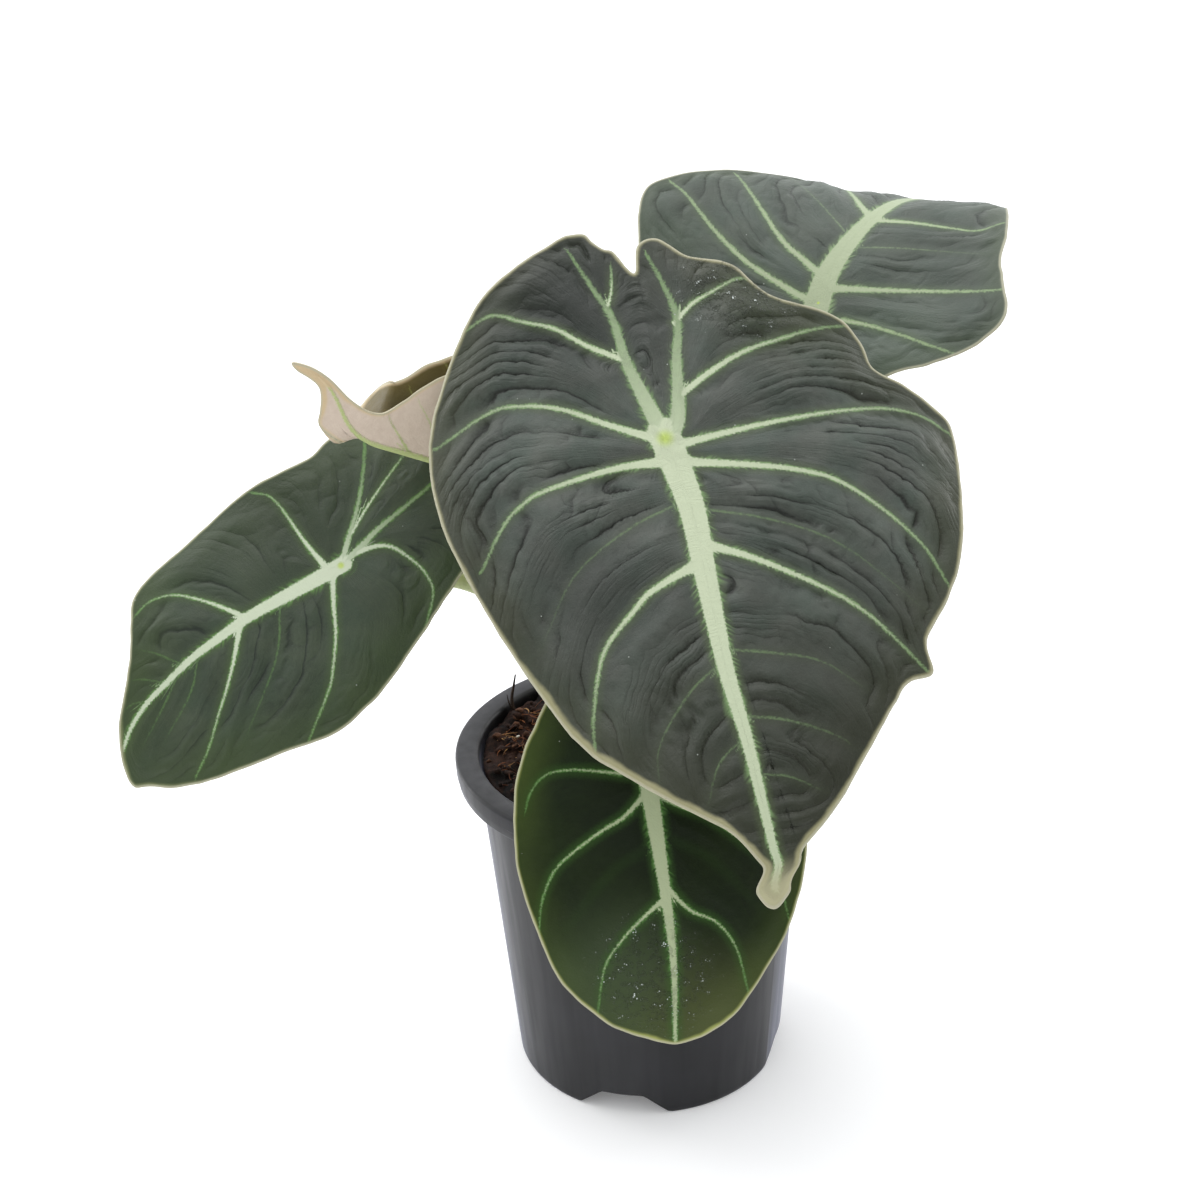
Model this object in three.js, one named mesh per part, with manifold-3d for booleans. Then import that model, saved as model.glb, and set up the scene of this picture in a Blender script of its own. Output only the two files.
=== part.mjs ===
// Alocasia reginula 'Black Velvet' in its nursery pot.
// Units are millimetres, +Z is up and the viewer stands at -Y. All sizes are taken from the
// pot's axis, and the finished pieces are moved by AXIS, which centres the plant's bounds.
import * as THREE from 'three';
import { mergeVertices } from 'three/addons/utils/BufferGeometryUtils.js';
import Module from 'manifold-3d';

const wasm = await Module();
wasm.setup();
const { Manifold, Mesh: SolidMesh } = wasm;

// ---------------------------------------------------------------- driving dimensions
const AXIS = new THREE.Vector3(16.5, -0.6, 0); // where the pot's axis stands
const GAP = 0.3; // air kept between pieces that touch

const POT_HEIGHT = 115;
const RIM_RADIUS = 60; // outside of the collar, a 12 cm pot
const MOUTH_RADIUS = 52.6;
const COLLAR_DROP = 8.2;
const COLLAR_WALL = 1.4;
const WALL = 1.3;
const BODY_TOP_RADIUS = 53.4; // outside of the wall, at the height of the rim
const FOOT_RADIUS = 44.7;
const FLOOR_HEIGHT = 9; // underside of the pot's floor
const FLOOR_THICKNESS = 1.6;
const NOTCH = { count: 4, first: -13.6, height: 7.9, foot: 32, top: 13 };
const DRAIN = { count: 4, radius: 4.5, circle: 27 };
const POT_SIDES = 60;

const SOIL_LEVEL = 108.5; // at the wall
const SOIL_CROWN = 111; // round the stem
const SOIL_SIDES = 44;

const STEM_RADIUS = 5.5; // the short upright rhizome
const STEM_TOP = 118;
const STEM_FOOT = 80;

const BLADE = 0.9; // thickness at the margin
const RIB = 1.5; // extra thickness under the joint
const PETIOLE_SIDES = 8;
const PETIOLE_STEPS = 24;

// ---------------------------------------------------------------- leaves
// A leaf lies flat first: x runs across it and y from the petiole's joint to the tip.
// heading: way the tip points, seen from above. pitch: its rise. bank: drop of the +x side.
// arch, lobes: degrees that the midrib has turned up at the tip, and down behind the joint,
// in the first and second power of the way. turns, twist: further turns of the midrib, and
// of the blade about it, as [degrees, from, to] along the way to the tip.
// fold, cup: rise of each half at the midrib, and what it adds by halfWidth ([+x, -x]).
// wave: height, number and phase of the margin's waves.
// hook: sideways sweep of the tip, as [mm, from y, to y].
const LEAVES = {
  leaf_front: {
    colour: 0x4a524d, joint: [9, -32, 232], heading: -72, pitch: -43, bank: 11,
    arch: [0, -18], lobes: [0, -12], fold: [0, 0], cup: [-20, -20], wave: [2, 5, 40],
    hook: [4.5, 123.5, 130.5], length: 145, halfWidth: 80, rings: 9,
    margin: [[3, 134.7], [0, 133.2], [-2.2, 131], [-2.9, 126.5], [-4, 122], [-17.5, 112.5],
      [-39, 92], [-47, 85], [-55, 84], [-56, 74.5], [-66, 64], [-75, 51], [-82, 32], [-87, 12],
      [-83.5, 3.5], [-76.5, -4.5], [-68, -11], [-67, -20], [-61, -29], [-43, -38], [-35, -50],
      [-23, -56], [-16, -64], [-9.5, -63], [-6.5, -54.5], [-4.5, -56], [-2, -62.5], [5, -70],
      [9.5, -71], [31, -63], [42.5, -55.5], [54, -41], [64, -24], [68, -6], [67, 14], [60, 42],
      [48, 76], [37, 91], [24, 104], [14, 113], [9.2, 121.5], [7.6, 125], [7.3, 129],
      [6.5, 131.8], [5.2, 133.9]],
    petiole: { path: [[6, -9, 86], [6, -9, 99], [6, -9, 113], [8, -7, 152], [10, -8, 196]],
      radius: [4.4, 2.9] },
  },
  leaf_back: {
    colour: 0x4e5a54, joint: [62, 52, 243], heading: 46, pitch: 49, bank: 12,
    arch: [-73, -66], lobes: [-25, -45], fold: [0, 0], cup: [10, 0], wave: [1, 5, 0],
    twist: [5, 0, 0.8], length: 108, halfWidth: 60, rings: 9,
    margin: [[0, 112], [-14, 96], [-30, 76], [-43, 54], [-58, 43.5], [-73, 31.5], [-78.5, 22],
      [-74.5, 10], [-67.5, -3], [-62, -20], [-50, -34], [-32, -44], [-14, -44], [-5, -36],
      [0, -25], [5, -35], [13, -38], [24, -30], [32, -16], [44, -9], [56, 0], [61, 11], [54, 23],
      [49, 31], [45.5, 42], [38, 58], [26, 80], [10, 99]],
    petiole: { path: [[8, 7, 86], [8, 7, 99], [8, 7, 113], [18, 21, 154], [44, 52, 207]],
      radius: [4.2, 2.6] },
  },
  leaf_left: {
    colour: 0x4a5c4c, joint: [-90, -5, 184], heading: 196, pitch: -26, bank: -46,
    arch: [0, -20], lobes: [0, -12], fold: [0, 0], cup: [-22, -22], wave: [2, 5, 0],
    length: 120, halfWidth: 70, rings: 8,
    margin: [[-13, 90], [-20.5, 91.6], [-23.5, 87.5], [-30, 77.5], [-34.5, 65], [-39.5, 44],
      [-43, 28.5], [-41, 15], [-38, 5.5], [-30, -13.5], [-22.7, -29.5], [-16, -43], [-8, -47],
      [-2, -47], [0, -45.5], [3, -47.5], [10, -51], [20, -50], [30, -38], [39, -20], [37, -8],
      [39, 13], [35, 36], [30, 57], [22, 64], [14, 68.5], [5, 76], [-4.5, 85]],
    petiole: { path: [[-10, -2, 86], [-10, -2, 99], [-10, -2, 113], [-22, 5, 148],
      [-52, 11, 169]], radius: [4.2, 2.8] },
  },
  leaf_young: {
    colour: 0xc4b09c, joint: [-29, 3, 203], heading: 195.5, pitch: 24.5, bank: 0,
    arch: [0, 0], lobes: [0, 0], fold: [59.5, 86.5], foldTip: 4, cup: [0, 0], wave: [0, 5, 0],
    turns: [[51, 0.54, 0.76], [-47, 0.76, 0.99]], twist: [-75.5, 0.56, 0.68],
    length: 92, halfWidth: 40, rings: 9,
    margin: [[1, 90], [0, 86], [-1, 79], [-3, 72], [-8, 63], [-10, 57], [-12, 53],
      [-15, 50], [-21, 46], [-29, 38], [-32, 32], [-35, 26], [-37, 14], [-35, 0],
      [-30, -14], [-21, -26], [-11, -31], [-4, -28], [0, -20], [4, -29], [12, -32],
      [24, -26], [33, -13], [38, 0], [40, 14], [39, 24], [34, 33], [28, 42], [20, 51],
      [21, 56], [11, 58], [6, 61], [8, 66], [6, 70], [4, 75], [3, 79], [3, 87]],
    petiole: { path: [[-3, 9, 86], [-3, 9, 99], [-3, 9, 113], [-7, 9, 141], [-19, 6, 167]],
      radius: [3.4, 2.2] },
  },
  leaf_low: {
    colour: 0x2c3f26, joint: [0, -74, 145], heading: -84, pitch: -64, bank: 0,
    arch: [0, -16], lobes: [0, -25], fold: [0, 0], cup: [-22, -22], wave: [0, 5, 0],
    length: 88, halfWidth: 48, rings: 7,
    margin: [[-4.5, 76.7], [-12.5, 74.6], [-20, 70.3], [-28.5, 61], [-38, 48.5], [-44.5, 34],
      [-47, 20], [-45, 4], [-41, -12], [-33, -27], [-22, -38], [-10, -40], [-3, -30], [0, -22],
      [3, -30], [9, -39], [18, -36], [27, -24], [36, -7], [39, 8], [38.5, 27], [31.5, 51],
      [25, 61], [15, 70], [3, 75.3]],
    petiole: { path: [[-5, -9, 86], [-5, -9, 99], [-5, -10, 113], [-5, -27, 133],
      [-3, -46, 141]], radius: [3.6, 2.4] },
  },
};

// ---------------------------------------------------------------- helpers
const rad = THREE.MathUtils.degToRad;

function toSolid(geometry) {
  const plain = geometry.clone();
  plain.deleteAttribute('normal');
  plain.deleteAttribute('uv');
  const merged = mergeVertices(plain, 1e-4);
  return new Manifold(new SolidMesh({
    numProp: 3,
    vertProperties: merged.attributes.position.array,
    triVerts: new Uint32Array(merged.index.array),
  }));
}

function toGeometry(solid) {
  const mesh = solid.getMesh();
  const geometry = new THREE.BufferGeometry();
  geometry.setAttribute('position', new THREE.BufferAttribute(mesh.vertProperties, 3));
  geometry.setIndex(new THREE.BufferAttribute(mesh.triVerts, 1));
  return geometry;
}

function piece(name, geometry, colour, roughness) {
  const mesh = new THREE.Mesh(geometry, new THREE.MeshStandardMaterial({
    color: colour, roughness, metalness: 0, flatShading: true,
  }));
  mesh.name = name;
  geometry.translate(...AXIS.toArray());
  return mesh;
}

function lathe(profile, sides) {
  const turned = new THREE.LatheGeometry(profile.map(([r, z]) => new THREE.Vector2(r, z)), sides);
  turned.rotateX(Math.PI / 2);
  return turned;
}

// Closed Catmull-Rom curve through the points, with steps cuts from one to the next.
function closedCurve(points, steps) {
  const curve = new THREE.CatmullRomCurve3(
    points.map(([x, y]) => new THREE.Vector3(x, y, 0)), true, 'catmullrom', 0.5);
  const count = points.length * steps;
  return curve.getPoints(count).slice(0, count).map((p) => [p.x, p.y]);
}

// ---------------------------------------------------------------- leaf blades
// Turn of the midrib at y, in radians.
function turn(leaf, y) {
  const ahead = Math.max(y, 0) / leaf.length;
  const behind = Math.max(-y, 0) / leaf.length;
  let degrees = leaf.arch[0] * ahead + leaf.arch[1] * ahead ** 2
    - leaf.lobes[0] * behind - leaf.lobes[1] * behind ** 2;
  for (const [more, from, to] of leaf.turns || []) {
    degrees += more * THREE.MathUtils.smoothstep(ahead, from, to);
  }
  return rad(degrees);
}

// Run and rise of the midrib up to y.
function alongMidrib(leaf, y) {
  const steps = 24;
  let run = 0;
  let rise = 0;
  for (let i = 0; i < steps; i += 1) {
    const angle = turn(leaf, y * (i + 0.5) / steps);
    run += Math.cos(angle) * y / steps;
    rise += Math.sin(angle) * y / steps;
  }
  return [run, rise];
}

function axes(leaf) {
  const h = rad(leaf.heading);
  const p = rad(leaf.pitch);
  const b = rad(leaf.bank);
  const tip = new THREE.Vector3(Math.cos(h) * Math.cos(p), Math.sin(h) * Math.cos(p), Math.sin(p));
  const side = new THREE.Vector3().crossVectors(tip, new THREE.Vector3(0, 0, 1)).normalize();
  const up = new THREE.Vector3().crossVectors(side, tip);
  return {
    tip,
    side: side.clone().multiplyScalar(Math.cos(b)).addScaledVector(up, -Math.sin(b)),
    up: up.clone().multiplyScalar(Math.cos(b)).addScaledVector(side, Math.sin(b)),
  };
}

// Point of the bent blade for the flat point flatX, y.
function bladePoint(leaf, frame, flatX, y) {
  const [sweep, sweepFrom, sweepTo] = leaf.hook || [0, 0, 1];
  const x = flatX + sweep * THREE.MathUtils.smoothstep(y, sweepFrom, sweepTo);
  const half = x > 0 ? 0 : 1;
  const [spin, from, to] = leaf.twist || [0, 0, 1];
  const late = THREE.MathUtils.smoothstep(y / leaf.length, from, to);
  const folded = leaf.fold[half];
  const fold = rad(folded + ((leaf.foldTip ?? folded) - folded) * late);
  const bend = (rad(leaf.cup[half]) || 1e-6) / leaf.halfWidth;
  const across = Math.abs(x);
  const out = Math.sign(x) * (Math.sin(fold + bend * across) - Math.sin(fold)) / bend;
  const lift = (Math.cos(fold) - Math.cos(fold + bend * across)) / bend;
  const twist = rad(spin) * late;
  const [size, count, phase] = leaf.wave;
  const ripple = size * (Math.hypot(x, y) / leaf.halfWidth) ** 2
    * Math.sin(count * Math.atan2(x, y) + rad(phase));
  const lx = out * Math.cos(twist) - lift * Math.sin(twist);
  const lz = out * Math.sin(twist) + lift * Math.cos(twist) + ripple;
  const [run, rise] = alongMidrib(leaf, y);
  const angle = turn(leaf, y);
  return new THREE.Vector3(...leaf.joint)
    .addScaledVector(frame.tip, run - lz * Math.sin(angle))
    .addScaledVector(frame.up, rise + lz * Math.cos(angle))
    .addScaledVector(frame.side, lx);
}

// Both faces share one grid: rings shrink the margin towards the joint.
function bladeGeometry(leaf) {
  const frame = axes(leaf);
  const margin = closedCurve(leaf.margin, 2);
  const n = margin.length;
  const grid = [[0, 0]];
  for (let ring = 1; ring <= leaf.rings; ring += 1) {
    const size = (ring / leaf.rings) ** 0.85;
    for (const [x, y] of margin) grid.push([x * size, y * size]);
  }
  const top = [];
  const bottom = [];
  const step = 0.4;
  for (const [x, y] of grid) {
    const p = bladePoint(leaf, frame, x, y);
    const dx = bladePoint(leaf, frame, x + step, y).sub(bladePoint(leaf, frame, x - step, y));
    const dy = bladePoint(leaf, frame, x, y + step).sub(bladePoint(leaf, frame, x, y - step));
    const normal = dx.cross(dy).normalize();
    const rib = RIB * Math.exp(-((Math.hypot(x, y) / 14) ** 2));
    top.push(p.clone().addScaledVector(normal, BLADE / 2));
    bottom.push(p.clone().addScaledVector(normal, -BLADE / 2 - rib));
  }
  const under = grid.length;
  const index = [];
  const both = (a, b, c) => index.push(a, b, c, under + a, under + c, under + b);
  for (let i = 0; i < n; i += 1) {
    const j = (i + 1) % n;
    both(0, 1 + i, 1 + j);
    for (let ring = 0; ring < leaf.rings - 1; ring += 1) {
      const a = 1 + ring * n;
      both(a + i, a + n + j, a + j);
      both(a + i, a + n + i, a + n + j);
    }
    const rim = 1 + (leaf.rings - 1) * n;
    index.push(rim + i, under + rim + j, rim + j, rim + i, under + rim + i, under + rim + j);
  }
  const geometry = new THREE.BufferGeometry();
  geometry.setAttribute('position', new THREE.Float32BufferAttribute(
    [...top, ...bottom].flatMap((p) => p.toArray()), 3));
  geometry.setIndex(index);
  return geometry;
}

// ---------------------------------------------------------------- petioles
function petioleGeometry(leaf) {
  const frame = axes(leaf);
  const joint = new THREE.Vector3(...leaf.joint);
  const points = leaf.petiole.path.map((p) => new THREE.Vector3(...p));
  const lean = joint.clone().sub(points.at(-1)).normalize().add(frame.up).normalize();
  points.push(joint.clone().addScaledVector(lean, -14));
  for (const below of [4, BLADE]) points.push(joint.clone().addScaledVector(frame.up, -below));
  const path = new THREE.CatmullRomCurve3(points, false, 'centripetal');
  path.arcLengthDivisions = 400;
  const [thick, thin] = leaf.petiole.radius;
  const section = new THREE.Shape();
  for (let i = 0; i < PETIOLE_SIDES; i += 1) {
    const a = 2 * Math.PI * i / PETIOLE_SIDES;
    section[i ? 'lineTo' : 'moveTo'](thin * Math.cos(a), thin * Math.sin(a));
  }
  section.closePath();
  const tube = new THREE.ExtrudeGeometry(section, {
    steps: PETIOLE_STEPS, extrudePath: path, bevelEnabled: false,
  });
  const centres = path.getSpacedPoints(PETIOLE_STEPS);
  const position = tube.attributes.position;
  const p = new THREE.Vector3();
  for (let i = 0; i < position.count; i += 1) {
    p.fromBufferAttribute(position, i);
    let near = 0;
    centres.forEach((c, k) => {
      if (c.distanceTo(p) < centres[near].distanceTo(p)) near = k;
    });
    const way = near / PETIOLE_STEPS;
    const grow = 1 + (thick / thin - 1) * (1 - way) ** 1.5;
    p.sub(centres[near]).multiplyScalar(grow).add(centres[near]);
    position.setXYZ(i, p.x, p.y, p.z);
  }
  return tube;
}

function leafGeometry(leaf) {
  const whole = toSolid(bladeGeometry(leaf)).add(toSolid(petioleGeometry(leaf)));
  return toGeometry(whole);
}

// ---------------------------------------------------------------- pot
function potWall(z) {
  return FOOT_RADIUS + (BODY_TOP_RADIUS - FOOT_RADIUS) * z / POT_HEIGHT;
}

function potGeometry() {
  const top = POT_HEIGHT;
  const low = top - COLLAR_DROP;
  const inside = FLOOR_HEIGHT + FLOOR_THICKNESS;
  const profile = [
    [0, inside], [potWall(inside) - WALL - 1, inside], [potWall(inside) - WALL, inside + 1],
    [MOUTH_RADIUS - 0.4, top - 1.6], [MOUTH_RADIUS, top - 0.5], [MOUTH_RADIUS + 0.6, top],
    [RIM_RADIUS - 0.8, top], [RIM_RADIUS - 0.2, top - 0.4], [RIM_RADIUS, top - 1.2],
    [RIM_RADIUS - 0.4, low], [RIM_RADIUS - 0.4 - COLLAR_WALL, low],
    [RIM_RADIUS - 0.2 - COLLAR_WALL, top - COLLAR_WALL], [potWall(top), top - COLLAR_WALL],
    [potWall(low), low], [potWall(1), 1.2], [FOOT_RADIUS - 0.5, 0],
    [FOOT_RADIUS - WALL - 0.4, 0], [potWall(FLOOR_HEIGHT) - WALL, FLOOR_HEIGHT],
    [0, FLOOR_HEIGHT],
  ].reverse();
  let pot = toSolid(lathe(profile, POT_SIDES));
  for (let i = 0; i < NOTCH.count; i += 1) {
    const angle = rad(NOTCH.first + 360 * i / NOTCH.count - 90);
    const shape = new THREE.Shape([[-NOTCH.foot / 2, -1], [NOTCH.foot / 2, -1],
      [NOTCH.foot / 2 - 1, 0], [NOTCH.top / 2 + 2, NOTCH.height - 1.2],
      [NOTCH.top / 2, NOTCH.height], [-NOTCH.top / 2, NOTCH.height],
      [-NOTCH.top / 2 - 2, NOTCH.height - 1.2], [1 - NOTCH.foot / 2, 0],
    ].map(([x, y]) => new THREE.Vector2(x, y)));
    const cut = new THREE.ExtrudeGeometry(shape, { depth: 20, bevelEnabled: false });
    cut.rotateX(Math.PI / 2).translate(0, 52, 0).rotateZ(angle - Math.PI / 2);
    pot = pot.subtract(toSolid(cut));
  }
  for (let i = 0; i < DRAIN.count; i += 1) {
    const angle = rad(NOTCH.first + 45 + 360 * i / DRAIN.count - 90);
    const hole = new THREE.CylinderGeometry(DRAIN.radius, DRAIN.radius, 6, 20);
    hole.rotateX(Math.PI / 2).translate(DRAIN.circle * Math.cos(angle),
      DRAIN.circle * Math.sin(angle), FLOOR_HEIGHT);
    pot = pot.subtract(toSolid(hole));
  }
  return toGeometry(pot);
}

// ---------------------------------------------------------------- potting mix and stem
function soilGeometry() {
  const base = FLOOR_HEIGHT + FLOOR_THICKNESS + GAP;
  const wall = (z) => potWall(z) - WALL - GAP - 0.15;
  const profile = [[0, base], [wall(base) - 1.2, base], [wall(base) - 0.2, base + 1.2],
    [wall(SOIL_LEVEL) - 0.1, SOIL_LEVEL - 1], [wall(SOIL_LEVEL) - 1.6, SOIL_LEVEL]];
  for (const [r, way] of [[44, 0.05], [36, 0.2], [28, 0.5], [20, 0.85], [11, 1], [0, 1]]) {
    profile.push([r, SOIL_LEVEL + (SOIL_CROWN - SOIL_LEVEL) * way]);
  }
  const mound = lathe(profile, SOIL_SIDES);
  const position = mound.attributes.position;
  for (let i = 0; i < position.count; i += 1) {
    const [x, y, z] = [position.getX(i), position.getY(i), position.getZ(i)];
    const r = Math.hypot(x, y);
    if (z >= SOIL_LEVEL - 0.1 && r > 1) {
      const bump = 0.9 * Math.sin(0.31 * x + 1.3) * Math.cos(0.27 * y - 0.4)
        + 0.5 * Math.sin(0.6 * y + 0.5 * x);
      position.setZ(i, z + bump * Math.min(1, r / 12));
    }
  }
  let soil = toSolid(mound);
  for (const leaf of Object.values(LEAVES)) {
    const [x, y, foot] = leaf.petiole.path[0];
    const [thick] = leaf.petiole.radius;
    soil = soil.subtract(toSolid(socket(x, y, foot, thick + 0.6)));
  }
  soil = soil.subtract(toSolid(socket(0, 0, STEM_FOOT, STEM_RADIUS + GAP)));
  return toGeometry(soil);
}

function stemGeometry() {
  const profile = [[0, STEM_FOOT], [STEM_RADIUS - 1, STEM_FOOT], [STEM_RADIUS, STEM_FOOT + 1],
    [STEM_RADIUS, STEM_TOP - 5], [STEM_RADIUS - 0.7, STEM_TOP - 2.5],
    [STEM_RADIUS - 2.5, STEM_TOP - 0.6], [0, STEM_TOP]];
  return lathe(profile, 16);
}

// A plain round hole in the mix, GAP deeper than what stands in it.
function socket(x, y, foot, radius) {
  const depth = 60;
  const hole = new THREE.CylinderGeometry(radius, radius, depth, 16);
  return hole.rotateX(Math.PI / 2).translate(x, y, foot - GAP + depth / 2);
}

const BUILD = new THREE.Group();
BUILD.name = 'alocasia_black_velvet';
BUILD.add(piece('pot', potGeometry(), 0x3b3b42, 0.45));
BUILD.add(piece('potting_mix', soilGeometry(), 0x3a241a, 0.95));
BUILD.add(piece('stem', stemGeometry(), 0x6f6a45, 0.8));
for (const [name, leaf] of Object.entries(LEAVES)) {
  BUILD.add(piece(name, leafGeometry(leaf), leaf.colour, 0.8));
}

export default BUILD;
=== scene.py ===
"""Dresses a potted Alocasia reginula 'Black Velvet': leaves, stem, potting mix, pot and studio.

Sizes in the tables are millimetres from the pot's axis, as in the solid model that this script
loads. Every finished mesh is in metres, in the frame of that model.
"""

import math
import random

import bmesh
import bpy
import numpy as np
from mathutils import Matrix, Vector, noise


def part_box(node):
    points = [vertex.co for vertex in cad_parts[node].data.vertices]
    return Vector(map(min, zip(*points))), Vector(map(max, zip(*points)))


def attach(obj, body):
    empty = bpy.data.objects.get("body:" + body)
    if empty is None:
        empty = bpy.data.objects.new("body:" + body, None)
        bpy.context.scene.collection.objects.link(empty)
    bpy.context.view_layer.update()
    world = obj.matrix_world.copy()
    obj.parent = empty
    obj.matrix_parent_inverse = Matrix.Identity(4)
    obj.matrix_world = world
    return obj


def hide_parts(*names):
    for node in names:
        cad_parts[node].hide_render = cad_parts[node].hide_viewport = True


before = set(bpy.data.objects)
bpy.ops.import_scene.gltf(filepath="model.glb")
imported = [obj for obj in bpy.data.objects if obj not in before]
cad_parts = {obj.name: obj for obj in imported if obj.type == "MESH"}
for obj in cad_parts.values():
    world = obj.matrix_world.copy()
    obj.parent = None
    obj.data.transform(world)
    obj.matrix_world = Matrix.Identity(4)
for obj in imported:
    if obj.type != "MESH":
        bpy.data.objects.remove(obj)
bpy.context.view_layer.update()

bl_info = {
    "name": "Velvet Alocasia",
    "version": (1, 0, 0),
    "blender": (4, 5, 0),
    "location": "View3D > Sidebar > Alocasia",
    "description": "A black velvet alocasia in its nursery pot",
    "category": "Add Mesh",
}

MM = 0.001
STEM_LOW, STEM_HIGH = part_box("stem")
POT_LOW, POT_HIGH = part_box("pot")
AXIS = Vector(((STEM_LOW.x + STEM_HIGH.x) / 2, (STEM_LOW.y + STEM_HIGH.y) / 2, 0))
POT_HEIGHT = (POT_HIGH.z - POT_LOW.z) / MM
RIM_RADIUS = (POT_HIGH.x - POT_LOW.x) / 2 / MM

# ---------------------------------------------------------------- shapes and looks of leaves
# A leaf lies flat first: x runs across it and y from the petiole's joint to the tip, in mm.
# joint: its place, in mm from the pot's axis. petiole: points that the stalk passes on its
# way up to the joint. radius: of the stalk's foot and of its top.
# heading: way the tip points, seen from above. pitch: its rise. bank: drop of the +x side.
# arch, lobes: degrees that the midrib has turned up at the tip, and down behind the joint,
# in the first and second power of the way. turns, twist: further turns of the midrib, and
# of the blade about it, as [degrees, from, to] along the way to the tip.
# fold, cup: rise of each half at the midrib, and what it adds by half_width (+x, -x).
# fold_tip: the fold that both halves come to along the twist, if not None.
# wave: height, number and phase of the margin's waves. hook: sideways sweep of the tip, as
# (mm, from y, to y).
# margin: the outline, from the tip round by the -x side.
# veins: kind, first and last width, then the points that the vein passes. The first is the
# midrib.
PLAIN_SHAPE = {"arch": (0, 0), "lobes": (0, 0), "fold": (0, 0), "cup": (0, 0),
               "wave": (0, 5, 0), "twist": (0, 0, 1), "turns": (), "bank": 0,
               "hook": (0, 0, 1), "fold_tip": None}
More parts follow.
